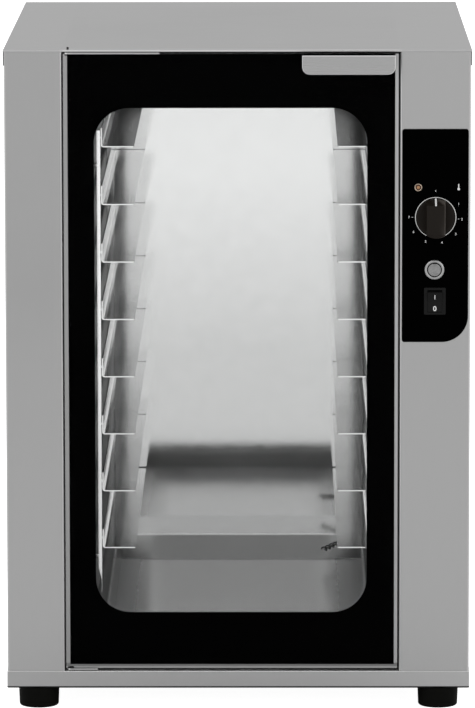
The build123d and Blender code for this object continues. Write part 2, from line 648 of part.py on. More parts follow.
# Screws that hold the handle from behind, inside the door.
SCREW_SEAT = STEEL_FRONT + SHEET
with BuildPart() as handle_screws:
    for x in STANDOFFS:
        thread_start = HANDLE_FRONT + HANDLE_SHEET + 4
        rod((x, thread_start, STANDOFF_Z), (0, 1, 0), HANDLE_SCREW, SCREW_SEAT - thread_start)
        rod((x, SCREW_SEAT, STANDOFF_Z), (0, 1, 0), 4.6, 3.0)
save(handle_screws, "handle_screws")

# Hinge plates on the door's top and bottom edges, each turning on a pin in the housing.
PLATE_THICKNESS = 1.8
TOP_PLATE_END = -99.6
BOTTOM_PLATE_END = -182.0


def hinge_plate(name, z, far_end):
    """Strap with a round end about the hinge pin."""
    with BuildPart() as plate:
        with BuildSketch(Plane.XY.offset(z)):
            with Locations((HINGE_X, HINGE_Y)):
                Circle(HINGE_PLATE_RADIUS)
            strap_x = (HINGE_X + far_end) / 2
            with Locations((strap_x, HINGE_Y)):
                Rectangle(far_end - HINGE_X, 2 * HINGE_PLATE_RADIUS)
            with Locations((HINGE_X, HINGE_Y)):
                Circle(HINGE_PIN_RADIUS + RUNNING_CLEARANCE, mode=Mode.SUBTRACT)
        extrude(amount=PLATE_THICKNESS)
    save(plate, name)


hinge_plate("top_hinge_plate", DOOR_TOP, TOP_PLATE_END)
hinge_plate("bottom_hinge_plate", DOOR_BOTTOM - PLATE_THICKNESS, BOTTOM_PLATE_END)

# Pins fixed in the lid and in the rail; the upper one has a thin end that shows above the lid.
PIN_TIP = 3.2
PIN_GRIP = 6.0
with BuildPart() as hinge_pins:
    rod((HINGE_X, HINGE_Y, HEM_UNDERSIDE), (0, 0, 1), HINGE_PIN_TIP_RADIUS, 2 * SHEET + PIN_TIP)
    tip_rim = hinge_pins.edges().filter_by(GeomType.CIRCLE).group_by(Axis.Z)[-1]
    fillet(tip_rim, radius=0.6)
    rod((HINGE_X, HINGE_Y, DOOR_TOP), (0, 0, 1), HINGE_PIN_RADIUS, HEM_UNDERSIDE - DOOR_TOP)
    rod((HINGE_X, HINGE_Y, RAIL_TOP - PIN_GRIP), (0, 0, 1), HINGE_PIN_RADIUS,
        DOOR_BOTTOM + SHEET - RAIL_TOP + PIN_GRIP)
save(hinge_pins, "hinge_pins")

# ---------------------------------------------------------------- controls
SMALL_CORNER = 3.5
LARGE_CORNER = 34.0
with BuildPart() as control_fascia:
    with BuildSketch(front_plane(FASCIA_FRONT)) as outline:
        panel_sketch(FASCIA_LEFT, FASCIA_RIGHT, FASCIA_BOTTOM, FASCIA_TOP)
        low_right = outline.vertices().sort_by(Axis.X)[-2:].sort_by(Axis.Y)[0]
        fillet(low_right, radius=LARGE_CORNER)
        top_right = outline.vertices().group_by(Axis.Y)[-1].sort_by(Axis.X)[-1]
        fillet(outline.vertices().group_by(Axis.X)[0] + [top_right], radius=SMALL_CORNER)
    extrude(amount=-FASCIA_THICKNESS)
    control_cutouts()
save(control_fascia, "control_fascia")

# Thermostat: body behind the column, with a threaded bushing through it.
SHAFT_RADIUS = 3.0
THERMOSTAT_SIZE = 44.0
THERMOSTAT_DEPTH = 26.0
with BuildPart() as thermostat_body:
    half = THERMOSTAT_SIZE / 2
    slab((KNOB_X - half, KNOB_X + half), (COLUMN_BACK, COLUMN_BACK + THERMOSTAT_DEPTH),
         (KNOB_Z - half, KNOB_Z + half))
    fillet(thermostat_body.edges().filter_by(Axis.Y), radius=4.0)
    rod((KNOB_X, FASCIA_FRONT, KNOB_Z), (0, 1, 0), BUSHING_RADIUS, COLUMN_BACK - FASCIA_FRONT)
    rod((KNOB_X, FASCIA_FRONT - 1, KNOB_Z), (0, 1, 0), SHAFT_RADIUS + RUNNING_CLEARANCE, 18,
        Mode.SUBTRACT)
save(thermostat_body, "thermostat_body")

# Knob: a skirt with a grip bar across it, on the thermostat's shaft.
KNOB_GAP = 0.6
SKIRT_BACK = FASCIA_FRONT - KNOB_GAP
SKIRT_FRONT = SKIRT_BACK - 5.0
KNOB_FRONT = FRONT - PROUD
RING_WIDTH = 1.3
RING_DEPTH = 2.0
GRIP_HALF_WIDTH = 9.5
GRIP_HALF_CREST = 7.0
KNOB_BORE_END = KNOB_FRONT + 6.0
with BuildPart() as control_knob:
    with BuildSketch(front_plane(SKIRT_BACK)):
        with Locations((KNOB_X, KNOB_Z)):
            Circle(KNOB_RADIUS - 0.2)
    extrude(amount=SKIRT_BACK - SKIRT_FRONT - RING_DEPTH)
    with BuildSketch(front_plane(SKIRT_FRONT + RING_DEPTH)):
        with Locations((KNOB_X, KNOB_Z)):
            Circle(KNOB_RADIUS - RING_WIDTH)
    extrude(amount=RING_DEPTH)
    bar = Plane(origin=(KNOB_X, SKIRT_FRONT, KNOB_Z - KNOB_RADIUS), x_dir=(1, 0, 0), z_dir=(0, 0, 1))
    with BuildSketch(bar):
        with BuildLine():
            Polyline(
                (-GRIP_HALF_WIDTH, 0),
                (-GRIP_HALF_CREST, KNOB_FRONT - SKIRT_FRONT),
                (GRIP_HALF_CREST, KNOB_FRONT - SKIRT_FRONT),
                (GRIP_HALF_WIDTH, 0),
                close=True,
            )
        make_face()
    extrude(amount=2 * KNOB_RADIUS)
    crest = control_knob.edges().filter_by(Axis.Z).group_by(Axis.Y)[0]
    fillet(crest, radius=2.0)
    turned_radius = KNOB_RADIUS - RING_WIDTH
    with BuildSketch(front_plane(KNOB_FRONT - 1)):
        with Locations((KNOB_X, KNOB_Z)):
            Circle(2 * KNOB_RADIUS)
            Circle(turned_radius, mode=Mode.SUBTRACT)
    extrude(amount=-(SKIRT_FRONT - KNOB_FRONT + 1), mode=Mode.SUBTRACT)
    rod((KNOB_X, KNOB_BORE_END, KNOB_Z), (0, 1, 0), SHAFT_RADIUS, 40, Mode.SUBTRACT)
save(control_knob, "control_knob")

with BuildPart() as knob_ring:
    with BuildSketch(front_plane(SKIRT_FRONT + RING_DEPTH)):
        with Locations((KNOB_X, KNOB_Z)):
            Circle(KNOB_RADIUS)
            Circle(KNOB_RADIUS - RING_WIDTH, mode=Mode.SUBTRACT)
    extrude(amount=RING_DEPTH)
    fillet(knob_ring.edges().group_by(Axis.Y)[0], radius=0.5)
save(knob_ring, "knob_ring")

with BuildPart() as control_shaft:
    rod((KNOB_X, KNOB_BORE_END, KNOB_Z), (0, 1, 0), SHAFT_RADIUS, FASCIA_FRONT + 16 - KNOB_BORE_END)
save(control_shaft, "control_shaft")

# Sensing bulb of the thermostat: a ribbed rod from the right wall into the cavity.
BULB_RADIUS = 3.0
BULB_RIB_RADIUS = 4.0
BULB_LENGTH = 108.9
BULB_DROP = 7.7          # degrees below level, towards the free end
BULB_TURN = 50.4         # degrees from square to the wall, towards the door
BULB_TIP_Y = 112.7
BULB_TIP_Z = 123.8
BULB_RIBS = 9
BULB_RIB_PITCH = 6.0
drop = radians(BULB_DROP)
turn = radians(BULB_TURN)
bulb_direction = (-cos(drop) * cos(turn), -cos(drop) * sin(turn), -sin(drop))
bulb_foot_y = BULB_TIP_Y + BULB_LENGTH * cos(drop) * sin(turn)
bulb_foot = (CAVITY_RIGHT, bulb_foot_y, BULB_TIP_Z + BULB_LENGTH * sin(drop))
BULB_ROOT = 8.0          # extra length, cut off flush with the wall below
bulb_root = [bulb_foot[i] - bulb_direction[i] * BULB_ROOT for i in range(3)]
with BuildPart() as thermostat_bulb:
    rod(bulb_root, bulb_direction, BULB_RADIUS, BULB_LENGTH + BULB_ROOT)
    for rib in range(BULB_RIBS):
        along = BULB_LENGTH - 4 - rib * BULB_RIB_PITCH
        rib_centre = [bulb_foot[i] + bulb_direction[i] * along for i in range(3)]
        rod(rib_centre, bulb_direction, BULB_RIB_RADIUS, BULB_RIB_PITCH / 2)
    slab((CAVITY_RIGHT, CAVITY_RIGHT + 10), (bulb_foot_y - 20, bulb_foot_y + 20),
         (BULB_TIP_Z, BULB_TIP_Z + 40), Mode.SUBTRACT)
save(thermostat_bulb, "thermostat_bulb")

with BuildPart() as pilot_lamp:
    rod((LAMP_X, FASCIA_FRONT - 2.2, LAMP_Z), (0, 1, 0), LAMP_RADIUS, 2.2)
    fillet(pilot_lamp.edges().filter_by(GeomType.CIRCLE).group_by(Axis.Y)[0], radius=1.6)
    rod((LAMP_X, FASCIA_FRONT, LAMP_Z), (0, 1, 0), LAMP_BODY_RADIUS, 24)
save(pilot_lamp, "pilot_lamp")

# Push-button: a round metal cap sliding in a threaded bezel.
BEZEL_HEIGHT = 2.6
with BuildPart() as button_housing:
    rod((BUTTON_X, FASCIA_FRONT - BEZEL_HEIGHT, BUTTON_Z), (0, 1, 0), BEZEL_RADIUS, BEZEL_HEIGHT)
    fillet(button_housing.edges().filter_by(GeomType.CIRCLE).group_by(Axis.Y)[0], radius=1.2)
    rod((BUTTON_X, FASCIA_FRONT, BUTTON_Z), (0, 1, 0), BUTTON_BODY_RADIUS, 28)
    rod((BUTTON_X, FASCIA_FRONT - 10, BUTTON_Z), (0, 1, 0), BUTTON_RADIUS + RUNNING_CLEARANCE, 34,
        Mode.SUBTRACT)
save(button_housing, "button_housing")

with BuildPart() as push_button:
    rod((BUTTON_X, FASCIA_FRONT - BEZEL_HEIGHT - 0.6, BUTTON_Z), (0, 1, 0), BUTTON_RADIUS, 20)
    fillet(push_button.edges().filter_by(GeomType.CIRCLE).group_by(Axis.Y)[0], radius=0.6)
save(push_button, "push_button")

# Rocker switch: a black frame and the key that tilts in it on two small trunnions.
FRAME_WIDTH = 28.0
FRAME_HEIGHT = 35.0
FRAME_THICKNESS = 2.0
APERTURE_WIDTH = 19.0
APERTURE_HEIGHT = 28.8
KEY_WIDTH = 18.4
KEY_HALF_HEIGHT = 13.0
PIVOT_Y = FRONT + 1.0
TRUNNION_RADIUS = 1.5
TRUNNION_REACH = 10.3
with BuildPart() as switch_housing:
    with BuildSketch(front_plane(FASCIA_FRONT)):
        with Locations((ROCKER_X, ROCKER_Z)):
            RectangleRounded(FRAME_WIDTH, FRAME_HEIGHT, 1.5)
    extrude(amount=FRAME_THICKNESS)
    fillet(switch_housing.edges().group_by(Axis.Y)[0], radius=0.7)
    with BuildSketch(front_plane(FASCIA_FRONT)):
        with Locations((ROCKER_X, ROCKER_Z)):
            Rectangle(SWITCH_BODY_WIDTH, SWITCH_BODY_HEIGHT)
    extrude(amount=-22)
    with BuildSketch(front_plane(FASCIA_FRONT - 5)):
        with Locations((ROCKER_X, ROCKER_Z)):
            Rectangle(APERTURE_WIDTH, APERTURE_HEIGHT)
    extrude(amount=-22, mode=Mode.SUBTRACT)
    rod((ROCKER_X - TRUNNION_REACH - 0.3, PIVOT_Y, ROCKER_Z), (1, 0, 0),
        TRUNNION_RADIUS + RUNNING_CLEARANCE, 2 * TRUNNION_REACH + 0.6, Mode.SUBTRACT)
save(switch_housing, "switch_housing")

tilt = radians(ROCKER_TILT)
outward = (0, -cos(tilt), -sin(tilt))    # the lower half is pressed in, which is off
key_end = (ROCKER_X + KEY_WIDTH / 2, PIVOT_Y, ROCKER_Z)
with BuildPart() as rocker_key:
    with BuildSketch(Plane(origin=key_end, x_dir=outward, z_dir=(-1, 0, 0))):
        with BuildLine():
            Polyline(
                (4.0, 0),
                (6.0, KEY_HALF_HEIGHT),
                (0.5, KEY_HALF_HEIGHT),
                (-6.5, 5),
                (-6.5, -5),
                (0.5, -KEY_HALF_HEIGHT),
                (6.0, -KEY_HALF_HEIGHT),
                close=True,
            )
        make_face()
    extrude(amount=KEY_WIDTH)
    rod((ROCKER_X - TRUNNION_REACH, PIVOT_Y, ROCKER_Z), (1, 0, 0), TRUNNION_RADIUS, 2 * TRUNNION_REACH)
save(rocker_key, "rocker_key")

# ---------------------------------------------------------------- mains side
BLOCK_X, BLOCK_Y = 250.0, 250.0
BLOCK_SIZE = (50.0, 24.0, 22.0)
BLOCK_PITCH = 15.0
WELL_RADIUS = 3.0
WELL_DEPTH = 10.0
with BuildPart() as terminal_block:
    half_length, half_depth = BLOCK_SIZE[0] / 2, BLOCK_SIZE[1] / 2
    slab((BLOCK_X - half_length, BLOCK_X + half_length), (BLOCK_Y - half_depth, BLOCK_Y + half_depth),
         (PAN_FLOOR, PAN_FLOOR + BLOCK_SIZE[2]))
    for way in (-1, 0, 1):
        well = (BLOCK_X + way * BLOCK_PITCH, BLOCK_Y, PAN_FLOOR + BLOCK_SIZE[2] - WELL_DEPTH)
        rod(well, (0, 0, 1), WELL_RADIUS, WELL_DEPTH + 1, Mode.SUBTRACT)
save(terminal_block, "terminal_block")

GLAND_NUT = 5.0
GLAND_DOME = 13.0
GLAND_END = BACK + PROUD
GLAND_HEX = 14.5
GLAND_THREAD_INSIDE = 8.0
with BuildPart() as cable_gland:
    rod((GLAND_X, BACK_PANEL - SHEET - GLAND_THREAD_INSIDE, GLAND_Z), (0, 1, 0), GLAND_THREAD,
        GLAND_THREAD_INSIDE + SHEET)
    for nut_start in (BACK_PANEL - SHEET - GLAND_NUT, BACK_PANEL):
        with BuildSketch(front_plane(nut_start)):
            with Locations((GLAND_X, GLAND_Z)):
                RegularPolygon(GLAND_HEX, 6)
        extrude(amount=-GLAND_NUT)
    rod((GLAND_X, BACK_PANEL + GLAND_NUT, GLAND_Z), (0, 1, 0), GLAND_DOME,
        GLAND_END - BACK_PANEL - GLAND_NUT)
    fillet(cable_gland.edges().filter_by(GeomType.CIRCLE).group_by(Axis.Y)[-1], radius=7.0)
    rod((GLAND_X, BACK_PANEL - 20, GLAND_Z), (0, 1, 0), GLAND_BORE, 60, Mode.SUBTRACT)
save(cable_gland, "cable_gland")
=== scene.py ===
# %% [markdown]
# # A cabinet proofer for dough
# The cabinet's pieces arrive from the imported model, already at their real size and place. This
# lesson gives every surface its finish, adds the small printed and moulded details that the model
# leaves out, and sets the light and the camera. Everything is in metres: +Z is up and the door
# faces -Y.

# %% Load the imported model
import json
from math import cos, pi, radians, sin

import bmesh
import bpy
from mathutils import Matrix, Vector


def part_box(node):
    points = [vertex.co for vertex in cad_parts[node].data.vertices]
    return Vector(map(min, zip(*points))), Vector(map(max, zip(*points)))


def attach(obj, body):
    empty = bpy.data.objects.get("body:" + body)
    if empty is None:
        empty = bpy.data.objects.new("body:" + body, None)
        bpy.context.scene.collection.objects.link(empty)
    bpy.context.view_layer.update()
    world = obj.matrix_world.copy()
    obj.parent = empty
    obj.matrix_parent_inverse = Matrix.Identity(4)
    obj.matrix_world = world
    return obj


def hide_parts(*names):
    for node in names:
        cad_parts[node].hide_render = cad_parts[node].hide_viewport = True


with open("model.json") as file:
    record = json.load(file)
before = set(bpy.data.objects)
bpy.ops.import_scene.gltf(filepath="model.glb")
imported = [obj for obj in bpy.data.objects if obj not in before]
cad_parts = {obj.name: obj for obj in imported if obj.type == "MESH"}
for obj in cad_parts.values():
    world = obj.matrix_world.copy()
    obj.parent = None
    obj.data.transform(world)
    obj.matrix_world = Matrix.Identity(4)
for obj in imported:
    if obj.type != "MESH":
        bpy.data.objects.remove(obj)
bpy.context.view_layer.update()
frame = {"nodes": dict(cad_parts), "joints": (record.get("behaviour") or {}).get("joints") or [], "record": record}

# %% [markdown]
# ## The camera
# A long lens from far away keeps the front nearly square, as a catalogue view does, and a small
# tilt down shows the lid. The view is given by its three angles, so the camera's axes are worked
# out from them: where it looks, what is to its right and what is up.

# %% Camera
CAMERA_PLACE = Vector((0.0495, -7.678, 1.5731))
CAMERA_YAW = -0.0068018
CAMERA_PITCH = 0.149982
CAMERA_ROLL = -0.0013901
CAMERA_LENS = 293.12         # focal length in millimetres
SENSOR_WIDTH = 36.0
VIEW_DEPTH = 60.0            # metres from the camera to the farthest thing it shows

looking = Vector((sin(CAMERA_YAW) * cos(CAMERA_PITCH),
                  cos(CAMERA_YAW) * cos(CAMERA_PITCH),
                  -sin(CAMERA_PITCH)))
level_right = Vector((cos(CAMERA_YAW), -sin(CAMERA_YAW), 0.0))
level_up = level_right.cross(looking)
right = level_right * cos(CAMERA_ROLL) + level_up * sin(CAMERA_ROLL)
up = level_up * cos(CAMERA_ROLL) - level_right * sin(CAMERA_ROLL)

camera_data = bpy.data.cameras.new("catalogue_camera")
camera_data.lens = CAMERA_LENS
camera_data.sensor_width = SENSOR_WIDTH
camera_data.clip_end = VIEW_DEPTH
camera = bpy.data.objects.new("catalogue_camera", camera_data)
bpy.context.collection.objects.link(camera)
axes = Matrix((right, up, -looking)).transposed()
camera.matrix_world = Matrix.Translation(CAMERA_PLACE) @ axes.to_4x4()
bpy.context.scene.camera = camera
print("camera", tuple(round(v, 3) for v in CAMERA_PLACE), "lens", CAMERA_LENS)

# %% [markdown]
# ## The room
# Steel shows the room more than itself, so the room is simple: a pale floor, an even white surround
# and two large soft lamps. Rays from the camera, rays in mirrors and rays that bring light each see
# it a little differently, and the Light Path node tells them apart. The few helpers here are used
# for the room and for the finishes alike.

# %% Helpers for nodes
def joined(tree, operation, first, second):
    """A Math node of two inputs, each a socket or a number."""
    node = tree.nodes.new("ShaderNodeMath")
    node.operation = operation
    for socket, value in zip(node.inputs, (first, second)):
        if isinstance(value, (int, float)):
            socket.default_value = value
        else:
            tree.links.new(value, socket)
    return node.outputs[0]


def seen_in_mirrors(tree):
    """A socket that is 1 for rays from a mirror or through glass."""
    path = tree.nodes.new("ShaderNodeLightPath")
    return joined(tree, "MAXIMUM", path.outputs["Is Glossy Ray"],
                  path.outputs["Is Transmission Ray"])


def seen_by_camera(tree):
    """A socket that is 1 for rays straight from the camera."""
    return tree.nodes.new("ShaderNodeLightPath").outputs["Is Camera Ray"]


def ranged(tree, value, from_low, from_high, low=0.0, high=1.0):
    """Maps a value from one range to another, and keeps it inside."""
    node = tree.nodes.new("ShaderNodeMapRange")
    node.inputs["From Min"].default_value = from_low
    node.inputs["From Max"].default_value = from_high
    node.inputs["To Min"].default_value = low
    node.inputs["To Max"].default_value = high
    tree.links.new(value, node.inputs["Value"])
    return node.outputs["Result"]


def along_axes(tree, coordinate):
    """The X, Y and Z of one of Texture Coordinate's outputs."""
    where = tree.nodes.new("ShaderNodeTexCoord")
    parts = tree.nodes.new("ShaderNodeSeparateXYZ")
    tree.links.new(where.outputs[coordinate], parts.inputs[0])
    return parts.outputs


# %% [markdown]
# The floor stays a real surface that takes the cabinet's shadow; for the camera and in mirrors a
# little light of its own lifts it to white. In mirrors it is lifted only from some way off, so that
# the steel inside fades towards the bottom.

# %% Floor
FLOOR_HALF = 14.0
FLOOR_WHITE = 0.82
FLOOR_LIFT_SEEN = 0.96
FLOOR_LIFT_MIRRORED = 0.40
MIRROR_LIFT_FROM, MIRROR_LIFT_TO = 2.1, 5.0    # metres from the cabinet's middle


def distance_lift(tree):
    """The floor's lift in mirrors: none near the cabinet, all of it some metres away."""
    where = tree.nodes.new("ShaderNodeTexCoord")
    away = tree.nodes.new("ShaderNodeVectorMath")
    away.operation = "LENGTH"
    tree.links.new(where.outputs["Object"], away.inputs[0])
    return ranged(tree, away.outputs["Value"], MIRROR_LIFT_FROM, MIRROR_LIFT_TO,
                  0.0, FLOOR_LIFT_MIRRORED)


def room_floor():
    """A wide pale plane under the cabinet."""
    mesh = bpy.data.meshes.new("studio_floor")
    shape = bmesh.new()
    bmesh.ops.create_grid(shape, x_segments=1, y_segments=1, size=FLOOR_HALF)
    shape.to_mesh(mesh)
    shape.free()
    floor = bpy.data.objects.new("studio_floor", mesh)
    bpy.context.collection.objects.link(floor)
    material = bpy.data.materials.new("studio_floor")
    material.use_nodes = True
    tree = material.node_tree
    shader = tree.nodes["Principled BSDF"]
    shader.inputs["Base Color"].default_value = (FLOOR_WHITE, FLOOR_WHITE, FLOOR_WHITE, 1)
    shader.inputs["Roughness"].default_value = 0.9
    shader.inputs["Specular IOR Level"].default_value = 0.0
    shader.inputs["Emission Color"].default_value = (1, 1, 1, 1)
    seen = joined(tree, "MULTIPLY", seen_by_camera(tree), FLOOR_LIFT_SEEN)
    mirrored = joined(tree, "MULTIPLY", seen_in_mirrors(tree), distance_lift(tree))
    tree.links.new(joined(tree, "ADD", seen, mirrored), shader.inputs["Emission Strength"])
    mesh.materials.append(material)
    return floor


room_floor()
print("floor", 2 * FLOOR_HALF, "m wide")

# %% [markdown]
# Straight in front, above a low bright horizon, the room is dimmer, as a studio is behind the
# camera. The cavity's floor and back wall throw a look back almost where it came from, and the
# floor's fall parts the two ways round: floor first goes up to the dim part, and wall first goes
# out to the horizon.

# %% Surround
SURROUND_FOR_SURFACES = 0.86
SURROUND_SEEN = 1.0
DIM_FROM, DIM_TO = 0.155, 0.20                 # rise of the direction, as a sine
DIM_SIDES, DIM_MIDDLE = -0.80, -0.95           # Y of the direction
DIM_BY = 0.72


def surround():
    """A white world, a little weaker as light than as what mirrors and the camera see."""
    world = bpy.data.worlds.new("surround")
    bpy.context.scene.world = world
    world.use_nodes = True
    tree = world.node_tree
    background = tree.nodes["Background"]
    background.inputs["Color"].default_value = (1, 1, 1, 1)
    either = joined(tree, "MAXIMUM", seen_by_camera(tree), seen_in_mirrors(tree))
    extra = joined(tree, "MULTIPLY", either, SURROUND_SEEN - SURROUND_FOR_SURFACES)
    level = joined(tree, "ADD", extra, SURROUND_FOR_SURFACES)
    direction = along_axes(tree, "Generated")
    high = ranged(tree, direction[2], DIM_FROM, DIM_TO)
    in_front = ranged(tree, direction[1], DIM_SIDES, DIM_MIDDLE)
    dim = joined(tree, "MULTIPLY", joined(tree, "MULTIPLY", high, in_front), seen_in_mirrors(tree))
    kept_light = joined(tree, "SUBTRACT", 1.0, joined(tree, "MULTIPLY", dim, DIM_BY))
    tree.links.new(joined(tree, "MULTIPLY", level, kept_light), background.inputs["Strength"])


surround()
bpy.context.scene.view_settings.view_transform = "Standard"
print("surround", SURROUND_SEEN, "as seen and", SURROUND_FOR_SURFACES, "as light")

# %% [markdown]
# The two lamps are so weak that they only shape the light of the surround a little. They stand high
# in front, one to each side, and both point at the cabinet's middle.

# %% Lamps
LAMP_AIM = (0, 0, 0.45)
LAMP_SIZE = 2.4


def soft_lamp(name, place, watts):
    """A large square lamp that points from its place at the cabinet's middle."""
    data = bpy.data.lights.new(name, "AREA")
    data.shape = "SQUARE"
    data.size = LAMP_SIZE
    data.energy = watts
    lamp = bpy.data.objects.new(name, data)
    bpy.context.collection.objects.link(lamp)
    towards = (Vector(LAMP_AIM) - Vector(place)).to_track_quat("-Z", "Y")
    lamp.matrix_world = Matrix.Translation(place) @ towards.to_matrix().to_4x4()


soft_lamp("key_lamp", (-2.4, -3.2, 3.4), 20)
soft_lamp("fill_lamp", (3.0, -2.2, 2.2), 18)
print("lamps:", [lamp.name for lamp in bpy.data.lights])

# %% [markdown]
# ## How a finish is built
# Each finish is one Principled shader. What is the same all over goes straight on its sockets;
# what varies, such as brushed grain or cloudy smears, comes from noise on Object coordinates in
# metres, so its scale is a real one: a frequency of 900 is a detail about a millimetre wide.

# %% Helpers for finishes
NOISE_LOW, NOISE_HIGH = 0.3, 0.7     # nearly all of a noise lies between these


def new_finish(name, colour, roughness, **sockets):
    """A material with its Principled node; extra sockets are given by name, with _ for a space."""
    material = bpy.data.materials.new(name)
    material.use_nodes = True
    shader = material.node_tree.nodes["Principled BSDF"]
    shader.inputs["Base Color"].default_value = (*colour, 1)
    shader.inputs["Roughness"].default_value = roughness
    for socket, value in sockets.items():
        shader.inputs[socket.replace("_", " ")].default_value = value
    return material, shader


def noise(tree, frequency, detail, place=(0, 0, 0)):
    """A noise value from 0 to 1; frequency is one number, or three to stretch it along an axis."""
    stretch = frequency if isinstance(frequency, tuple) else (frequency,) * 3
    where = tree.nodes.new("ShaderNodeTexCoord")
    mapping = tree.nodes.new("ShaderNodeMapping")
    mapping.inputs["Scale"].default_value = stretch
    mapping.inputs["Location"].default_value = place
    texture = tree.nodes.new("ShaderNodeTexNoise")
    texture.inputs["Scale"].default_value = 1.0
    texture.inputs["Detail"].default_value = detail
    tree.links.new(where.outputs["Object"], mapping.inputs["Vector"])
    tree.links.new(mapping.outputs["Vector"], texture.inputs["Vector"])
    return texture.outputs["Fac"]


def spread(tree, value, low, high):
    """Maps the useful middle of a noise value to a range."""
    return ranged(tree, value, NOISE_LOW, NOISE_HIGH, low, high)


def shade_colour(tree, shader, value, colour, darker, lighter):
    """Colour that varies between a darker and a lighter multiple of itself."""
    node = tree.nodes.new("ShaderNodeMix")
    node.data_type = "RGBA"
    node.inputs["A"].default_value = (*(c * darker for c in colour), 1)
    node.inputs["B"].default_value = (*(c * lighter for c in colour), 1)
    tree.links.new(value, node.inputs["Factor"])
    tree.links.new(node.outputs["Result"], shader.inputs["Base Color"])


def uneven_roughness(tree, shader, value, roughness, less, more):
    """Roughness that varies with a noise, down and up from its middle by two amounts."""
    varied = spread(tree, value, roughness - less, roughness + more)
    tree.links.new(varied, shader.inputs["Roughness"])


def bump(tree, shader, value, depth):
    """Relief from a value, with its depth in metres."""
    node = tree.nodes.new("ShaderNodeBump")
    node.inputs["Distance"].default_value = depth
    tree.links.new(value, node.inputs["Height"])
    tree.links.new(node.outputs["Normal"], shader.inputs["Normal"])


# %% [markdown]
# ## Brushed stainless steel
# The housing is stainless sheet with a fine ground finish. Grinding leaves lines about a tenth of
# a millimetre wide and some centimetres long, so the noise is stretched along one axis. Over it
# lies a faint cloudiness, as from wiping. Where the sheet turns a corner it has a painted
# highlight: a paler grey stands in for the light that a fold catches. Flat sheet on this cabinet
# always faces along an axis, so a normal that doesn't lies on a fold. Cut edges have no fold, and
# there the Bevel node helps: it gives the normal that a rounded edge would have, which leaves the
# true one only close to an edge. The same painted highlight is laid there.

# %% Where sheet is folded or cut
FOLD_FROM, FOLD_TO = 0.995, 0.93     # the normal's longest part: flat sheet, middle of a fold
EDGE_FROM, EDGE_TO = 0.995, 0.90     # how far the rounded normal agrees with the true one
EDGE_REACH = 0.0010
# How far towards the fold grey the painted highlight goes along cut edges.
EDGE_HIGHLIGHT = 0.5
EDGE_SAMPLES = 6


def on_folds(tree):
    """1 where the sheet turns a corner, 0 where it faces along an axis."""
    along = [joined(tree, "ABSOLUTE", part, 0.0) for part in along_axes(tree, "Normal")]
    most = joined(tree, "MAXIMUM", joined(tree, "MAXIMUM", along[0], along[1]), along[2])
    return ranged(tree, most, FOLD_FROM, FOLD_TO)


def near_edges(tree):
    """A mask for a painted highlight along cut edges, fading to 0 on the flat sheet."""
    rounded = tree.nodes.new("ShaderNodeBevel")
    rounded.samples = EDGE_SAMPLES
    rounded.inputs["Radius"].default_value = EDGE_REACH
    true = tree.nodes.new("ShaderNodeNewGeometry")
    agree = tree.nodes.new("ShaderNodeVectorMath")
    agree.operation = "DOT_PRODUCT"
    tree.links.new(rounded.outputs["Normal"], agree.inputs[0])
    tree.links.new(true.outputs["Normal"], agree.inputs[1])
    return ranged(tree, agree.outputs["Value"], EDGE_FROM, EDGE_TO, 0.0, EDGE_HIGHLIGHT)


def mixed_colour(tree, factor, first, second):
    """A colour between two, each a socket or a grey."""
    node = tree.nodes.new("ShaderNodeMix")
    node.data_type = "RGBA"
    tree.links.new(factor, node.inputs["Factor"])
    for name, value in (("A", first), ("B", second)):
        if isinstance(value, float):
            node.inputs[name].default_value = (value, value, value, 1)
        else:
            tree.links.new(value, node.inputs[name])
    return node.outputs["Result"]


# %% [markdown]
# One function makes every brushed sheet, so that they differ only in grey, in roughness and in the
# way of their grain. Zones change the grey from one place to another: Object coordinates give a
# place on the cabinet, and normals give the way that a surface faces.

# %% Brushed steel
GRAIN_ACROSS = 2600.0
GRAIN_ALONG = 26.0
GRAIN_DEPTH = 0.000006
CLOUDS = 5.0
CLOUDS_DARKER, CLOUDS_LIGHTER = 0.985, 1.015
CLOUDS_PLACE = (3.1, 1.7, 0.4)       # moved off the grain, so that the two don't line up


def zoned(tree, colour, zones):
    """Colour with other greys in some zones. A zone is a coordinate of Texture Coordinate, an axis,
    two values between which the change happens, and the zone's grey."""
    for coordinate, axis, (start, end), zone_grey in zones:
        place = along_axes(tree, coordinate)["XYZ".index(axis)]
        colour = mixed_colour(tree, ranged(tree, place, start, end), colour, zone_grey)
    return colour


def brushed_steel(name, grey, roughness, along, fold_highlight_grey, grazing=0.62, fades=(), zones=()):
    """Sheet ground along one axis, "X", "Y" or "Z", with a painted highlight: a paler grey of its
    own on folds and cut edges. Fades are zones of the flat sheet only, and zones take in the folds.
    Grazing is how much a very slanting look still mirrors."""
    material, shader = new_finish(name, (grey, grey, grey), roughness, Metallic=1.0,
                                  Specular_Tint=(grazing, grazing, grazing, 1))
    tree = material.node_tree
    stretch = tuple(GRAIN_ALONG if axis == along else GRAIN_ACROSS for axis in "XYZ")
    grain = noise(tree, stretch, detail=2.0)
    clouds = noise(tree, CLOUDS, detail=2.0, place=CLOUDS_PLACE)
    colour = mixed_colour(tree, spread(tree, clouds, 0.0, 1.0),
                          grey * CLOUDS_DARKER, grey * CLOUDS_LIGHTER)
    colour = zoned(tree, colour, fades)
    # Folds and cut edges get the painted highlight, mixed in over the sheet's own grey.
    painted_highlight = joined(tree, "MAXIMUM", on_folds(tree), near_edges(tree))
    colour = mixed_colour(tree, painted_highlight, colour, fold_highlight_grey)
    tree.links.new(zoned(tree, colour, zones), shader.inputs["Base Color"])
    uneven_roughness(tree, shader, grain, roughness, 0.05, 0.06)
    bump(tree, shader, grain, GRAIN_DEPTH)
    return material
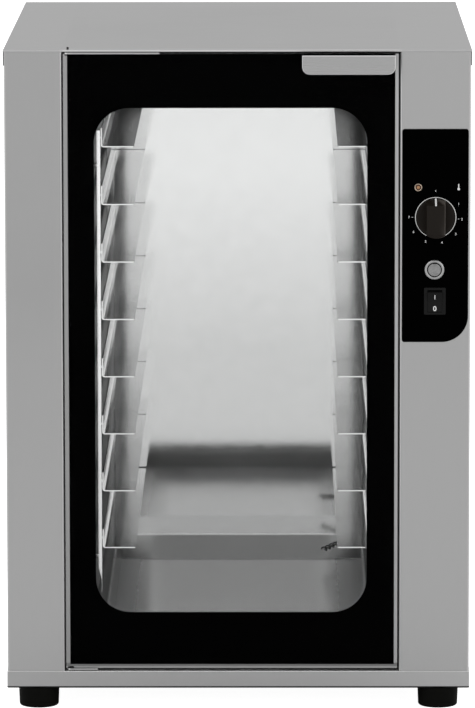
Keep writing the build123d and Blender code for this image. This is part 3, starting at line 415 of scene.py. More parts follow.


# %% [markdown]
# Light doesn't fall evenly on large flat sheet, so some sheets fade to another grey along an
# axis: painted light and shade. Cut ends, tops and the undersides of shells get their grey by the
# way they face: a normal along an axis or against it. Those greys are painted light and shade
# too, standing for the light and the shade in the gaps round the door. A few narrow strips have a
# place instead: the part of the door frame that shows under the glass is painted shade, the fold
# below it is paler again as a painted highlight, and the rail's lower edge, which turns under and
# faces its own shadow, is painted near black as that shadow.

# %% The brushed finishes
POINTS_ALONG = (0.97, 0.99)          # a normal's part on an axis that it points along
POINTS_AGAINST = (-0.97, -0.99)
RIGHTWARDS = (0.10, 0.20)
LEFTWARDS = (-0.10, -0.20)
DOWNWARDS = (0.55, 0.10)
LID_LEFT_OF_DOOR = (-0.222, -0.228)
LID_RIGHT_OF_DOOR = (0.207, 0.210)
RAIL_RIGHTWARDS = (0.05, 0.30)
RAIL_LOWER_EDGE = (0.0292, 0.0286)
DOOR_LOWER_STRIP = (0.0590, 0.0585)
DOOR_LOWER_FOLD = (0.0545, 0.0540)
steel = {
    # Housing: paler to the right and lower down is painted light, and the fold grey is a painted highlight.
    "housing_steel": brushed_steel("housing_steel", 0.375, 0.36, "Z", 0.55, fades=[
        ("Object", "X", RIGHTWARDS, 0.398),
        ("Object", "Z", DOWNWARDS, 0.460)]),
    # Lid: the fold grey is a painted highlight over the door only; left and right of the door a grey near the
    # lid's own takes its place. The pale underside is a painted highlight in the gap above the door.
    "lid_steel": brushed_steel("lid_steel", 0.455, 0.36, "X", 0.70, zones=[
        ("Object", "X", LID_LEFT_OF_DOOR, 0.465),
        ("Object", "X", LID_RIGHT_OF_DOOR, 0.465),
        ("Normal", "Z", POINTS_AGAINST, 1.0)]),
    # Rail: paler to the right is painted light; the pale fold grey and pale top are painted highlights in the gap
    # under the door; the near-black lower edge is painted shadow.
    "rail_steel": brushed_steel("rail_steel", 0.445, 0.36, "X", 1.0, fades=[
        ("Object", "X", RAIL_RIGHTWARDS, 0.495)], zones=[
        ("Object", "Z", RAIL_LOWER_EDGE, 0.02),
        ("Normal", "Z", POINTS_ALONG, 1.0)]),
    # Door: paler to the right and darker to the left is painted light and shade; the dark strip under the glass is
    # painted shade and the fold below it a painted highlight; the pale top, underside and left-facing edge are
    # painted highlights, and the dark right-facing edge is painted shade in the gap.
    "door_steel": brushed_steel("door_steel", 0.37, 0.34, "Z", 0.60, fades=[
        ("Object", "X", RIGHTWARDS, 0.435),
        ("Object", "X", LEFTWARDS, 0.33)], zones=[
        ("Object", "Z", DOOR_LOWER_STRIP, 0.20),
        ("Object", "Z", DOOR_LOWER_FOLD, 0.37),
        ("Normal", "Z", POINTS_AGAINST, 1.0),
        ("Normal", "Z", POINTS_ALONG, 1.0),
        ("Normal", "X", POINTS_ALONG, 0.15),
        ("Normal", "X", POINTS_AGAINST, 0.50)]),
    # For the rest the fold grey, where it is paler than the sheet, is a painted highlight.
    "handle_steel": brushed_steel("handle_steel", 0.362, 0.30, "X", 0.80),
    "hinge_steel": brushed_steel("hinge_steel", 0.42, 0.34, "X", 0.80, grazing=0.35),
    "rack_steel": brushed_steel("rack_steel", 0.90, 0.14, "Z", 0.90, grazing=1.0),
    "liner_steel": brushed_steel("liner_steel", 0.36, 0.34, "Z", 0.44),
    "side_wall_steel": brushed_steel("side_wall_steel", 0.36, 0.40, "Y", 0.36, grazing=0.60),
}
print("steel finishes:", ", ".join(steel))

# %% [markdown]
# ## Bright steel inside
# The cavity's back wall and its runners are smoother sheet, close to a mirror: the back wall
# shows the window and the door's lower edge. Here the roughness is low, and only a slow waviness
# bends the reflections a little, as on any large thin sheet. Painted light makes the runners
# brighter lower down, and a painted highlight makes the back wall brighter at its foot.
#
# Heat and steam have dulled the floor and the ceiling, and the ceiling's dark grey is painted
# shade. The floor is also a little chalky, as limescale leaves it. Its sides and its rounded
# corners are duller than its middle. Its sides are paler too, which is painted light, and its
# rounded corners are much darker, which is painted shade. The strip behind the basin is smoother
# and darker, and the face of the basin that is turned to the door is only darker.

# %% Cavity steel
WAVES = 7.0
WAVE_DEPTH = 0.00004
SMEARS = 45.0
SMEARS_DARKER, SMEARS_LIGHTER = 0.985, 1.01
SMEARS_PLACE = (0.2, 4.0, 1.3)


def cavity_sheet(name, grey, roughness, grazing=1.0, metallic=1.0, zones=(), sheen_zones=()):
    """Smooth rolled sheet with a slow waviness and faint smears. Sheen zones give a roughness where
    zones give a grey. Steel that is less than fully metallic is a little chalky."""
    material, shader = new_finish(name, (grey, grey, grey), roughness, Metallic=metallic,
                                  Specular_Tint=(grazing, grazing, grazing, 1))
    tree = material.node_tree
    smear = noise(tree, SMEARS, detail=3.0, place=SMEARS_PLACE)
    dullness = spread(tree, smear, roughness - 0.01, roughness + 0.012)
    tree.links.new(zoned(tree, dullness, sheen_zones), shader.inputs["Roughness"])
    colour = mixed_colour(tree, spread(tree, smear, 0.0, 1.0),
                          grey * SMEARS_DARKER, grey * SMEARS_LIGHTER)
    tree.links.new(zoned(tree, colour, zones), shader.inputs["Base Color"])
    bump(tree, shader, noise(tree, WAVES, detail=1.0), WAVE_DEPTH)
    return material


RUNNERS_DOWNWARDS = (0.70, 0.25)
WALL_FOOT = (0.1084, 0.1082)
FLOOR_PALE_RIGHT, FLOOR_PALE_LEFT = (0.12, 0.16), (-0.125, -0.165)
FLOOR_DULL_RIGHT, FLOOR_DULL_LEFT = (0.10, 0.16), (-0.105, -0.165)
BASIN_REAR = (0.1546, 0.1548)
BASIN_FACE = (-0.20, -0.60)          # Y of the normal
LEFT_CORNER = (0.10, 0.30)           # X of the normal
RIGHT_CORNER = (-0.10, -0.30)
# The back wall's paler foot, where it meets the floor, is a painted highlight.
steel["cavity_steel"] = cavity_sheet("cavity_steel", 0.715, 0.07, zones=[
    ("Object", "Z", WALL_FOOT, 0.95)])
# Floor: the paler sides are painted light and the dark rounded corners painted shade.
steel["cavity_floor_steel"] = cavity_sheet(
    "cavity_floor_steel", 0.76, 0.17, grazing=0.90, metallic=0.85,
    zones=[("Object", "X", FLOOR_PALE_RIGHT, 0.98),
           ("Object", "X", FLOOR_PALE_LEFT, 0.98),
           ("Object", "Y", BASIN_REAR, 0.44),
           ("Normal", "Y", BASIN_FACE, 0.36),
           ("Normal", "X", LEFT_CORNER, 0.10),
           ("Normal", "X", RIGHT_CORNER, 0.10)],
    sheen_zones=[("Object", "X", FLOOR_DULL_RIGHT, 0.36),
                 ("Object", "X", FLOOR_DULL_LEFT, 0.36),
                 ("Object", "Y", BASIN_REAR, 0.12),
                 ("Normal", "X", LEFT_CORNER, 0.50),
                 ("Normal", "X", RIGHT_CORNER, 0.50)])
# The ceiling's dark grey is painted shade.
steel["cavity_ceiling_steel"] = cavity_sheet("cavity_ceiling_steel", 0.24, 0.16, grazing=0.5)
# The runners' paler grey lower down is painted light.
steel["runner_steel"] = cavity_sheet("runner_steel", 0.69, 0.08, zones=[
    ("Object", "Z", RUNNERS_DOWNWARDS, 0.84)])
print("cavity finishes:", ", ".join(name for name in steel if name.startswith("cavity")))

# %% [markdown]
# ## Small metal parts
# Zinc-plated screws and pins, the turned push-button, the polished ring on the knob and the dark
# sheaths of the heater and sensor. They are small, so a fine speckle and a little relief are
# enough.

# %% Small metal finishes
SPECKLE = 1400.0
SPECKLE_DEPTH = 0.00001


def small_metal(name, colour, roughness):
    """Plain metal with a fine even texture."""
    material, shader = new_finish(name, colour, roughness, Metallic=1.0)
    tree = material.node_tree
    speckle = noise(tree, SPECKLE, detail=2.0)
    uneven_roughness(tree, shader, speckle, roughness, 0.06, 0.06)
    shade_colour(tree, shader, spread(tree, speckle, 0.0, 1.0), colour, 0.92, 1.05)
    bump(tree, shader, speckle, SPECKLE_DEPTH)
    return material


small_metals = {
    "zinc_steel": small_metal("zinc_steel", (0.62, 0.62, 0.60), 0.30),
    "pin_steel": small_metal("pin_steel", (0.045, 0.045, 0.045), 0.45),
    "button_metal": small_metal("button_metal", (0.38, 0.38, 0.38), 0.30),
    "ring_chrome": small_metal("ring_chrome", (0.58, 0.58, 0.57), 0.16),
    "lamp_bezel": small_metal("lamp_bezel", (0.47, 0.38, 0.30), 0.30),
    "bulb_metal": small_metal("bulb_metal", (0.030, 0.030, 0.033), 0.40),
    "heater_sheath": small_metal("heater_sheath", (0.16, 0.15, 0.14), 0.45),
}
print("small metals:", ", ".join(small_metals))

# %% [markdown]
# ## Glass and its black border
# The door is one pane of clear glass. Its border is black ceramic fired on the back, so from the
# front it is glossy and quite black, and from inside it is dull. Lamps have to reach the cavity,
# and real glass would only let them through as noise, so for shadow rays the pane is simply
# see-through.

# %% Glass, enamel and other blacks
def clear_glass():
    """Clear coated pane that hardly mirrors; simply see-through for shadow rays."""
    material, shader = new_finish("clear_glass", (0.985, 0.99, 0.988), 0.0, IOR=1.04,
                                  Transmission_Weight=1.0)
    tree = material.node_tree
    path = tree.nodes.new("ShaderNodeLightPath")
    through = tree.nodes.new("ShaderNodeBsdfTransparent")
    pane = tree.nodes.new("ShaderNodeMixShader")
    out = tree.nodes["Material Output"]
    tree.links.new(path.outputs["Is Shadow Ray"], pane.inputs["Fac"])
    tree.links.new(shader.outputs["BSDF"], pane.inputs[1])
    tree.links.new(through.outputs["BSDF"], pane.inputs[2])
    tree.links.new(pane.outputs["Shader"], out.inputs["Surface"])
    return material


def moulded(name, colour, roughness, specular, frequency=1800.0, depth=0.00002):
    """Moulded plastic, rubber or enamel with a fine even texture."""
    material, shader = new_finish(name, colour, roughness, Specular_IOR_Level=specular)
    tree = material.node_tree
    texture = noise(tree, frequency, detail=2.0)
    uneven_roughness(tree, shader, texture, roughness, 0.05, 0.07)
    shade_colour(tree, shader, spread(tree, texture, 0.0, 1.0), colour, 0.85, 1.1)
    bump(tree, shader, texture, depth)
    return material


plastics = {
    "clear_glass": clear_glass(),
    "black_enamel": moulded("black_enamel", (0.0003, 0.0003, 0.0003), 0.35, 0.004,
                            depth=0.000004),
    "fascia_black": moulded("fascia_black", (0.0002, 0.0002, 0.0002), 0.30, 0.006,
                            depth=0.000004),
    "knob_plastic": moulded("knob_plastic", (0.0105, 0.0080, 0.0060), 0.42, 0.10),
    "switch_plastic": moulded("switch_plastic", (0.0070, 0.0070, 0.0070), 0.40, 0.10),
    "terminal_plastic": moulded("terminal_plastic", (0.75, 0.73, 0.66), 0.5, 0.5),
    "gland_plastic": moulded("gland_plastic", (0.012, 0.012, 0.012), 0.5, 0.3),
    "foot_rubber": moulded("foot_rubber", (0.0028, 0.0029, 0.0022), 0.55, 0.05,
                           frequency=700.0, depth=0.00008),
    "seal_rubber": moulded("seal_rubber", (0.010, 0.010, 0.010), 0.6, 0.2),
    "lamp_amber": moulded("lamp_amber", (0.42, 0.21, 0.09), 0.20, 0.5),
    "lamp_socket": moulded("lamp_socket", (0.055, 0.020, 0.010), 0.45, 0.3),
    "print_white": moulded("print_white", (0.80, 0.80, 0.80), 0.5, 0.2),
    "mineral_wool": moulded("mineral_wool", (0.55, 0.48, 0.30), 0.9, 0.1,
                            frequency=260.0, depth=0.0008),
}
print("glass and plastics:", ", ".join(plastics))

# %% [markdown]
# ## Two finishes that know their place
# The knob's grip has a painted highlight along its right edge: it is paler there, so its finish
# looks for folds that face right. The push-button's cap was faced on a lathe, which leaves fine
# rings about its middle, and it has small dark pits. A Mapping node moves the rings' middle to the
# button's, because patterns start at the origin.

# %% Grip and button cap
FACES_RIGHT = (0.10, 0.30)           # X of the normal
RINGS = 480.0
PITS = 620.0
PITS_MOST, PITS_LEAST = 0.45, 0.0    # how much of a pit shows where the noise is low and high
PIT_SHADE = 0.5                      # a pit's grey as a share of the cap's
RING_DARKER, RING_LIGHTER = 0.85, 1.15
RING_DEPTH = 0.00002


def grip_plastic(colour, painted_highlight_colour):
    """Moulded plastic with a painted highlight: paler where it turns a corner on the right."""
    material = moulded("grip_plastic", colour, 0.42, 0.10)
    tree = material.node_tree
    shader = tree.nodes["Principled BSDF"]
    # The painted highlight lies on folds that face right.
    to_right = ranged(tree, along_axes(tree, "Normal")[0], *FACES_RIGHT)
    painted_highlight = joined(tree, "MULTIPLY", on_folds(tree), to_right)
    pale = tree.nodes.new("ShaderNodeMix")
    pale.data_type = "RGBA"
    plain = shader.inputs["Base Color"].links[0].from_socket
    tree.links.new(painted_highlight, pale.inputs["Factor"])
    tree.links.new(plain, pale.inputs["A"])
    pale.inputs["B"].default_value = (*painted_highlight_colour, 1)
    tree.links.new(pale.outputs["Result"], shader.inputs["Base Color"])
    return material


def turned_cap(grey, centre):
    """Metal faced on a lathe: fine rings about an axis along Y through a centre, and small pits."""
    material, shader = new_finish("turned_cap", (grey, grey, grey), 0.30, Metallic=1.0)
    tree = material.node_tree
    where = tree.nodes.new("ShaderNodeTexCoord")
    mapping = tree.nodes.new("ShaderNodeMapping")
    mapping.inputs["Location"].default_value = -centre
    rings = tree.nodes.new("ShaderNodeTexWave")
    rings.wave_type = "RINGS"
    rings.rings_direction = "Y"
    rings.inputs["Scale"].default_value = RINGS
    tree.links.new(where.outputs["Object"], mapping.inputs["Vector"])
    tree.links.new(mapping.outputs["Vector"], rings.inputs["Vector"])
    colour = mixed_colour(tree, rings.outputs["Fac"], grey * RING_DARKER, grey * RING_LIGHTER)
    pits = spread(tree, noise(tree, PITS, detail=1.0), PITS_MOST, PITS_LEAST)
    colour = mixed_colour(tree, pits, colour, grey * PIT_SHADE)
    tree.links.new(colour, shader.inputs["Base Color"])
    bump(tree, shader, rings.outputs["Fac"], RING_DEPTH)
    return material


button_low, button_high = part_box("push_button")
BUTTON = (button_low + button_high) / 2
# The grip's second colour is its painted highlight.
plastics["grip_plastic"] = grip_plastic((0.0110, 0.0085, 0.0065), (0.070, 0.062, 0.055))
small_metals["turned_cap"] = turned_cap(0.30, BUTTON)
print("button at", [round(v, 4) for v in BUTTON])

# %% [markdown]
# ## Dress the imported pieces
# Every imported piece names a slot, and the slot picks its finish. A few pieces share a slot but
# are ground the other way or are a little darker, so they are named one by one.

# %% Give each piece its finish
finishes = {**steel, **small_metals, **plastics}
SPECIAL_FINISH = {
    "top_lid": "lid_steel",
    "base_pan": "rail_steel",
    "cavity_floor": "cavity_floor_steel",
    "cavity_ceiling": "cavity_ceiling_steel",
    "cavity_left_wall": "side_wall_steel",
    "cavity_right_wall": "side_wall_steel",
    "door_liner": "liner_steel",
    "hinge_pins": "pin_steel",
    "top_hinge_plate": "hinge_steel",
    "bottom_hinge_plate": "hinge_steel",
}


def dress(node_name, finish_name):
    """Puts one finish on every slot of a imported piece."""
    for material_slot in frame["nodes"][node_name].material_slots:
        material_slot.material = finishes[finish_name]


for subpart in frame["record"]["subparts"]:
    node_name = subpart["node"]
    finish_name = SPECIAL_FINISH.get(node_name, subpart["material_slot"])
    if "_runner_" in node_name:
        finish_name = "runner_steel"
    dress(node_name, finish_name)

# %% [markdown]
# ## Where the controls are
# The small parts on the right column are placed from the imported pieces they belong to, so that they
# meet them. Lengths below are in millimetres and are turned to metres by one factor.

# %% Places of the controls
MM = 0.001
RING_WIDTH = 1.3 * MM
FASCIA_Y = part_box("control_fascia")[0].y


def middle(node):
    """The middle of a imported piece's box."""
    low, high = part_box(node)
    return (low + high) / 2


ring_low, ring_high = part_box("knob_ring")
KNOB = middle("knob_ring")
KNOB_INNER = (ring_high.x - ring_low.x) / 2 - RING_WIDTH
SKIRT_Y = ring_low.y
CREST_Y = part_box("control_knob")[0].y
print("knob at", [round(v, 4) for v in KNOB], "ring inside radius", round(KNOB_INNER, 4))

# %% [markdown]
# ## Small helpers for shaping
# A bmesh is shaped by operators and then kept as a piece with a finish, a body to ride on and a
# slot. Turned parts are a profile spun once round an axis that points out of the fascia.

# %% Helpers for pieces
OUTWARD = Vector((0.0, -1.0, 0.0))
SAME_PLACE = 1e-6                    # vertices closer than this are one


def kept(shape, name, finish, body):
    """Turns a finished bmesh into a piece that rides on a body."""
    bmesh.ops.remove_doubles(shape, verts=shape.verts, dist=SAME_PLACE)
    bmesh.ops.recalc_face_normals(shape, faces=shape.faces)
    mesh = bpy.data.meshes.new(name)
    shape.to_mesh(mesh)
    shape.free()
    mesh.materials.append(finishes[finish])
    piece = bpy.data.objects.new(name, mesh)
    bpy.context.collection.objects.link(piece)
    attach(piece, body)
    return piece


def soften(shape, width, least_angle):
    """Rounds every edge sharper than an angle in degrees."""
    sharp = [edge for edge in shape.edges
             if len(edge.link_faces) == 2 and edge.calc_face_angle() > radians(least_angle)]
    bmesh.ops.bevel(shape, geom=sharp, offset=width, offset_type="OFFSET", segments=3,
                    profile=0.5, affect="EDGES", material=-1)


def everything(shape):
    """All of a bmesh's vertices, edges and faces, as most operators want them."""
    return shape.verts[:] + shape.edges[:] + shape.faces[:]


def kind(items, wanted):
    """Those items of an operator's result that are of one kind."""
    return [item for item in items if isinstance(item, wanted)]


def smooth(piece, angle=35.0):
    """Shades gentle angles as curves and leaves sharp ones sharp."""
    for face in piece.data.polygons:
        face.use_smooth = True
    piece.data.set_sharp_from_angle(angle=radians(angle))
    return piece


def turned(profile, centre, steps=64):
    """A closed solid of revolution about the outward axis; profile is (radius, outward) in mm."""
    shape = bmesh.new()
    ring = [shape.verts.new((centre.x + radius * MM, centre.y - out * MM, centre.z))
            for radius, out in profile]
    edges = [shape.edges.new(pair) for pair in zip(ring, ring[1:])]
    bmesh.ops.spin(shape, geom=ring + edges, cent=centre, axis=OUTWARD, angle=2 * pi, steps=steps,
                   use_merge=True)
    return shape


# %% [markdown]
# ## The knob
# The knob is a round skirt with a thick grip across it. The skirt's profile has a low step for the
# polished ring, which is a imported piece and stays, and its middle is slightly hollow.

# %% Knob skirt
skirt_centre = Vector((KNOB.x, SKIRT_Y, KNOB.z))
skirt = turned([(0, -5.0), (26.2, -5.0), (26.3, -2.2), (24.9, -2.0), (24.9, -0.5),
                (23.8, -0.1), (21.0, -0.7), (0, -0.9)], skirt_centre, steps=96)
smooth(kept(skirt, "knob_skirt", "knob_plastic", "knob"))
print("knob skirt at", [round(v, 4) for v in skirt_centre])

# %% [markdown]
# The grip reaches the ring at its lower end, and its upper end slopes down to the skirt. It starts
# as a disc that is cut on both sides to the grip's width, drawn out towards the hand, narrowed a
# little on the way and cut by one sloping plane.

# %% Knob grip
GRIP_HALF_WIDTH = 12.8 * MM
GRIP_NARROWING = 0.93
GRIP_GAP = 0.1 * MM          # between the grip's lower end and the ring
GRIP_SINK = 1.5 * MM         # how deep the grip starts in the skirt
GRIP_ROUNDING = 0.9 * MM
SLOPE_TOP = 16.6 * MM        # above the knob's middle, where the slope leaves the crest
SLOPE_GAP = 0.4 * MM         # between the slope's foot and the ring

grip = bmesh.new()
bmesh.ops.create_circle(grip, cap_ends=True, segments=96, radius=KNOB_INNER - GRIP_GAP)
bmesh.ops.rotate(grip, verts=grip.verts, cent=(0, 0, 0), matrix=Matrix.Rotation(pi / 2, 3, "X"))
bmesh.ops.translate(grip, verts=grip.verts, vec=(KNOB.x, SKIRT_Y + GRIP_SINK, KNOB.z))
for side in (-1, 1):
    bmesh.ops.bisect_plane(grip, geom=everything(grip), dist=SAME_PLACE,
                           plane_co=(KNOB.x + side * GRIP_HALF_WIDTH, 0, 0),
                           plane_no=(side, 0, 0), clear_outer=True)
drawn = bmesh.ops.extrude_face_region(grip, geom=grip.faces[:])
crest = kind(drawn["geom"], bmesh.types.BMVert)
bmesh.ops.translate(grip, verts=crest, vec=(0, CREST_Y - SKIRT_Y - GRIP_SINK, 0))
bmesh.ops.scale(grip, verts=crest, vec=(GRIP_NARROWING, 1, 1), space=Matrix.Translation(-KNOB))
slope_start = Vector((KNOB.x, CREST_Y, KNOB.z + SLOPE_TOP))
slope_end = Vector((KNOB.x, SKIRT_Y, KNOB.z + KNOB_INNER - SLOPE_GAP))
slope_normal = (slope_end - slope_start).cross(Vector((1, 0, 0))).normalized()
if slope_normal.z < 0:
    slope_normal.negate()
cut = bmesh.ops.bisect_plane(grip, geom=everything(grip), dist=SAME_PLACE,
                             plane_co=slope_start, plane_no=slope_normal, clear_outer=True)
bmesh.ops.edgeloop_fill(grip, edges=kind(cut["geom_cut"], bmesh.types.BMEdge))
bmesh.ops.recalc_face_normals(grip, faces=grip.faces)
soften(grip, GRIP_ROUNDING, least_angle=40.0)
grip_piece = smooth(kept(grip, "knob_grip", "grip_plastic", "knob"))
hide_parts("control_knob")
print("knob grip stands", round((SKIRT_Y - CREST_Y) / MM, 1), "mm out of the skirt")

# %% [markdown]
# The pointer is a white bar let into the slope. A bar made upright is turned by the quaternion that
# takes Z to the slope's own direction.

# %% Knob pointer
POINTER_WIDTH = 2.1 * MM
POINTER_THICKNESS = 0.25 * MM
POINTER_SHARE = 0.94         # of the slope's length

pointer = bmesh.new()
bmesh.ops.create_cube(pointer, size=1.0)
run = slope_end - slope_start
bmesh.ops.scale(pointer, verts=pointer.verts,
                vec=(POINTER_WIDTH, POINTER_THICKNESS, run.length * POINTER_SHARE))
turn = run.to_track_quat("Z", "Y").to_matrix()
bmesh.ops.rotate(pointer, verts=pointer.verts, cent=(0, 0, 0), matrix=turn)
bmesh.ops.translate(pointer, verts=pointer.verts, vec=(slope_start + slope_end) / 2)
kept(pointer, "knob_pointer", "print_white", "knob")
print("pointer", round(run.length * POINTER_SHARE / MM, 1), "mm long")

# %% [markdown]
# ## Printed marks
# The scale, the small thermometer and the switch's I and 0 are white prints. Each is a text or a
# plain shape made into a very thin solid. A text is turned into a mesh while it still lies at the
# origin, and only then is it moved into place, because the piece itself has to stay at the
# origin.

# %% Printed figures
PRINT_THICKNESS = 0.05 * MM
FIGURE_SHARE = 0.72          # a figure's height as a share of its text size
SCALE_HEIGHT = 3.0 * MM
SCALE_BOLD = 0.07 * MM
SCALE_RADIUS = 34.0 * MM
SCALE_ANGLES = (60.4, 94.9, 130.5, 166.0, 201.8, 235.9, 269.6)


def printed_text(name, text, height, frame_matrix, body, bold):
    """A figure as a thin solid, centred on the frame's origin in its X-Y plane."""
    curve = bpy.data.curves.new(name, "FONT")
    curve.body = text
    curve.size = height / FIGURE_SHARE
    curve.align_x = "CENTER"
    curve.align_y = "CENTER"
    curve.offset = bold
    curve.extrude = PRINT_THICKNESS / 2
    curve.resolution_u = 4
    flat = bpy.data.objects.new(name + "_text", curve)
    bpy.context.collection.objects.link(flat)
    mesh = bpy.data.meshes.new_from_object(flat)
    bpy.data.objects.remove(flat)
    shape = bmesh.new()
    shape.from_mesh(mesh)
    bpy.data.meshes.remove(mesh)
    xs = [vert.co.x for vert in shape.verts]
    ys = [vert.co.y for vert in shape.verts]
    centring = Vector((-(min(xs) + max(xs)) / 2, -(min(ys) + max(ys)) / 2, 0))
    bmesh.ops.translate(shape, verts=shape.verts, vec=centring)
    shape.transform(frame_matrix)
    return kept(shape, name, "print_white", body)


def standing_frame(place, up=Vector((0, 0, 1))):
    """A frame whose X is to the right, whose Y is up and whose Z points outwards."""
    right_way = Vector((1, 0, 0))
    out = right_way.cross(up)
    return Matrix.Translation(place) @ Matrix((right_way, up, out)).transposed().to_4x4()


def on_scale(clockwise, radius):
    """A point on the fascia round the knob, by its angle in degrees from the top."""
    angle = radians(clockwise)
    return Vector((KNOB.x + radius * sin(angle), FASCIA_Y, KNOB.z + radius * cos(angle)))


for figure, clockwise in enumerate(SCALE_ANGLES, start=1):
    place = on_scale(clockwise, SCALE_RADIUS)
    printed_text(f"scale_{figure}", str(figure), SCALE_HEIGHT, standing_frame(place), "cabinet",
                 SCALE_BOLD)
print("scale figures:", len(SCALE_ANGLES))

# %% [markdown]
# Plain bars make the ticks of the scale: the start of it at the top, and one beside each of two
# figures. A bar and a disc make the thermometer.

# %% Scale ticks and thermometer
def printed_bar(name, place, width, height, clockwise=0.0):
    """A small upright bar on the fascia, turned clockwise by some degrees."""
    bar = bmesh.new()
    bmesh.ops.create_cube(bar, size=1.0)
    bmesh.ops.scale(bar, verts=bar.verts, vec=(width, PRINT_THICKNESS, height))
    bmesh.ops.rotate(bar, verts=bar.verts, cent=(0, 0, 0),
                     matrix=Matrix.Rotation(radians(clockwise), 3, "Y"))
    bmesh.ops.translate(bar, verts=bar.verts, vec=place)
    return kept(bar, name, "print_white", "cabinet")


for name, clockwise, radius, width, height in (
    ("scale_start", 0.0, 33.6, 0.9, 1.6),
    ("scale_tick_a", 94.9, 29.6, 0.5, 1.8),
    ("scale_tick_b", 269.6, 29.6, 0.5, 1.8),
):
    printed_bar(name, on_scale(clockwise, radius * MM), width * MM, height * MM, clockwise)

THERMOMETER = Vector((0.2832, FASCIA_Y, 0.6812))
THERMOMETER_STEM = (1.2 * MM, 5.4 * MM)
THERMOMETER_BULB = 1.65 * MM
STEM_ABOVE = Vector((0, 0, 1.2 * MM))
BULB_BELOW = Vector((0, 0, 2.6 * MM))
BULB_DEPTH = PRINT_THICKNESS * 1.2   # more than the stem's, so that no two faces share a plane
printed_bar("thermometer_stem", THERMOMETER + STEM_ABOVE, *THERMOMETER_STEM)
bulb = bmesh.new()
bmesh.ops.create_cone(bulb, cap_ends=True, segments=24, radius1=THERMOMETER_BULB,
                      radius2=THERMOMETER_BULB, depth=BULB_DEPTH)
bmesh.ops.rotate(bulb, verts=bulb.verts, cent=(0, 0, 0), matrix=Matrix.Rotation(pi / 2, 3, "X"))
bmesh.ops.translate(bulb, verts=bulb.verts, vec=THERMOMETER - BULB_BELOW)
kept(bulb, "thermometer_bulb", "print_white", "cabinet")
print("thermometer at", [round(v, 4) for v in THERMOMETER])

# %% [markdown]
# ## Marks on the rocker
# The rocker's two faces meet at its middle and lean by different amounts, because the lower half
# is pressed in. The figures lie on those faces, so their frames are worked out from the key's own
# tilt.

# %% Rocker figures
ROCKER_TILT = radians(10.0)
FACE_RISE = 2.0 / 13.0       # each face rises this much from the middle to its end
FACE_MIDDLE = 4.0 * MM       # from the pivot to where the two faces meet
SWITCH_HEIGHT = 6.6 * MM
rocker_pivot = next(Vector(joint["pos_m"]) for joint in frame["joints"]
                    if joint["name"] == "rocker_tilt")
key_out = Vector((0, -cos(ROCKER_TILT), -sin(ROCKER_TILT)))
key_up = Vector((0, -sin(ROCKER_TILT), cos(ROCKER_TILT)))
for name, text, side, offset, bold in (
    ("switch_on", "I", 1, 6.6 * MM, 0.0),
    ("switch_off", "0", -1, 8.7 * MM, 0.14 * MM),
):
    up_face = (key_up + key_out * FACE_RISE * side).normalized()
    place = rocker_pivot + key_out * (FACE_MIDDLE + offset * FACE_RISE) + key_up * offset * side
    printed_text(name, text, SWITCH_HEIGHT, standing_frame(place, up_face), "rocker", bold)
print("rocker pivot at", [round(v, 4) for v in rocker_pivot])

# %% [markdown]
# ## The pilot lamp
# A small neon lamp: a domed amber lens in a dark socket, held by a turned bezel. Four turned
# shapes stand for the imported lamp, and the fourth is its plain body behind the fascia.

# %% Pilot lamp
lamp_middle = middle("pilot_lamp")
lamp_centre = Vector((lamp_middle.x, FASCIA_Y, lamp_middle.z))
bezel = turned([(3.5, 0), (5.2, 0), (5.2, 0.9), (4.9, 1.5), (4.3, 1.9), (3.7, 1.5), (3.5, 0.9),
                (3.5, 0)], lamp_centre, steps=48)
smooth(kept(bezel, "lamp_bezel", "lamp_bezel", "cabinet"))
socket = turned([(0, 0), (3.6, 0), (3.6, 0.8), (0, 0.8)], lamp_centre, steps=48)
smooth(kept(socket, "lamp_socket", "lamp_socket", "cabinet"))
lens = turned([(0, 0.5), (2.1, 0.5), (2.1, 1.0), (1.8, 1.6), (1.1, 2.0), (0, 2.15)],
              lamp_centre, steps=48)
lens_piece = smooth(kept(lens, "lamp_lens", "lamp_amber", "cabinet"))
lamp_back = turned([(0, -24.0), (4.3, -24.0), (4.3, 0), (0, 0)], lamp_centre, steps=48)
smooth(kept(lamp_back, "lamp_body", "switch_plastic", "cabinet"))
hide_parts("pilot_lamp")
print("lamp at", [round(v, 4) for v in lamp_centre])

# %% [markdown]
# ## The push-button
# A turned metal cap slides in a domed bezel, with a dark gap round it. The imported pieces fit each
# other closely, as the joint needs, so turned shapes with a real gap take their place.

# %% Push-button
button_centre = Vector((BUTTON.x, FASCIA_Y, BUTTON.z))
bezel = turned([(9.3, 0), (9.3, 1.7), (9.8, 2.3), (10.8, 2.6), (12.0, 2.3), (12.8, 1.4),
                (13.0, 0.5), (13.0, 0), (9.3, 0)], button_centre)
bezel_piece = smooth(kept(bezel, "button_bezel", "button_metal", "cabinet"))
tube = turned([(8.6, -26.0), (10.9, -26.0), (10.9, -0.1), (9.3, 0.3), (8.6, 0.3), (8.6, -26.0)],
              button_centre)
smooth(kept(tube, "button_tube", "switch_plastic", "cabinet"))
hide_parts("button_housing")
cap = turned([(0, -16.0), (8.3, -16.0), (8.3, 2.6), (7.8, 3.1), (7.2, 3.2), (6.4, 3.0), (0, 2.8)],
             button_centre)
cap_piece = smooth(kept(cap, "button_cap", "turned_cap", "button"))
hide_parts("push_button")
print("button and bezel at", [round(v, 4) for v in button_centre])

# %% [markdown]
# ## The sensor and its guard
# The thermostat's sensor is a thin rod that hangs into the cavity in an open wire coil. A circle
# spun round the coil's axis with a small step along it draws the wire, as a lathe does with a
# spring.

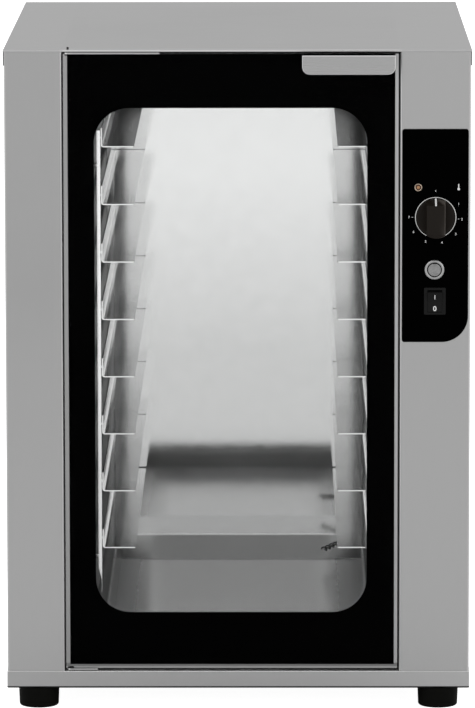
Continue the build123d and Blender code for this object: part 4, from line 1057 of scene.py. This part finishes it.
# %% Sensor coil
COIL_RADIUS = 3.1 * MM
COIL_WIRE = 0.85 * MM
COIL_PITCH = 8.15 * MM
COIL_STEPS_PER_TURN = 20
COIL_LENGTH = 106.0 * MM
COIL_START = 2.0 * MM                # from the wall
SENSOR_FOOT = (0.1958, 0.1384)       # Y and Z where it leaves the right wall
SENSOR_DROP = radians(7.7)
SENSOR_TURN = radians(50.4)
wall_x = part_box("thermostat_bulb")[1].x
foot = Vector((wall_x, *SENSOR_FOOT))
coil_axis = Vector((-cos(SENSOR_DROP) * cos(SENSOR_TURN),
                    -cos(SENSOR_DROP) * sin(SENSOR_TURN),
                    -sin(SENSOR_DROP)))
coil_turns = int(COIL_LENGTH / COIL_PITCH)
across = coil_axis.cross(Vector((0, 0, 1))).normalized()
wire_heading = coil_axis.cross(across)
coil_start = foot + coil_axis * COIL_START
coil = bmesh.new()
bmesh.ops.create_circle(coil, cap_ends=True, segments=8, radius=COIL_WIRE)
coil.transform(Matrix.Translation(coil_start + across * COIL_RADIUS)
               @ wire_heading.to_track_quat("Z", "Y").to_matrix().to_4x4())
bmesh.ops.spin(coil, geom=everything(coil), cent=coil_start, axis=coil_axis,
               dvec=coil_axis * (COIL_PITCH / COIL_STEPS_PER_TURN), angle=2 * pi * coil_turns,
               steps=COIL_STEPS_PER_TURN * coil_turns, use_merge=False)
coil_piece = smooth(kept(coil, "sensor_coil", "bulb_metal", "cabinet"), angle=60)
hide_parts("thermostat_bulb")
print("coil of", coil_turns, "turns")

# %% [markdown]
# The rod itself is a plain cylinder with rounded ends, on the coil's axis.

# %% Sensor rod
SENSOR_RADIUS = 1.3 * MM
SENSOR_ROUNDING = 0.5 * MM
sensor = bmesh.new()
bmesh.ops.create_cone(sensor, cap_ends=True, segments=24, radius1=SENSOR_RADIUS,
                      radius2=SENSOR_RADIUS, depth=COIL_LENGTH)
soften(sensor, SENSOR_ROUNDING, least_angle=60.0)
sensor.transform(Matrix.Translation(foot + coil_axis * COIL_LENGTH / 2)
                 @ coil_axis.to_track_quat("Z", "Y").to_matrix().to_4x4())
smooth(kept(sensor, "sensor_rod", "zinc_steel", "cabinet"))
print("rod", round(COIL_LENGTH / MM, 1), "mm long")
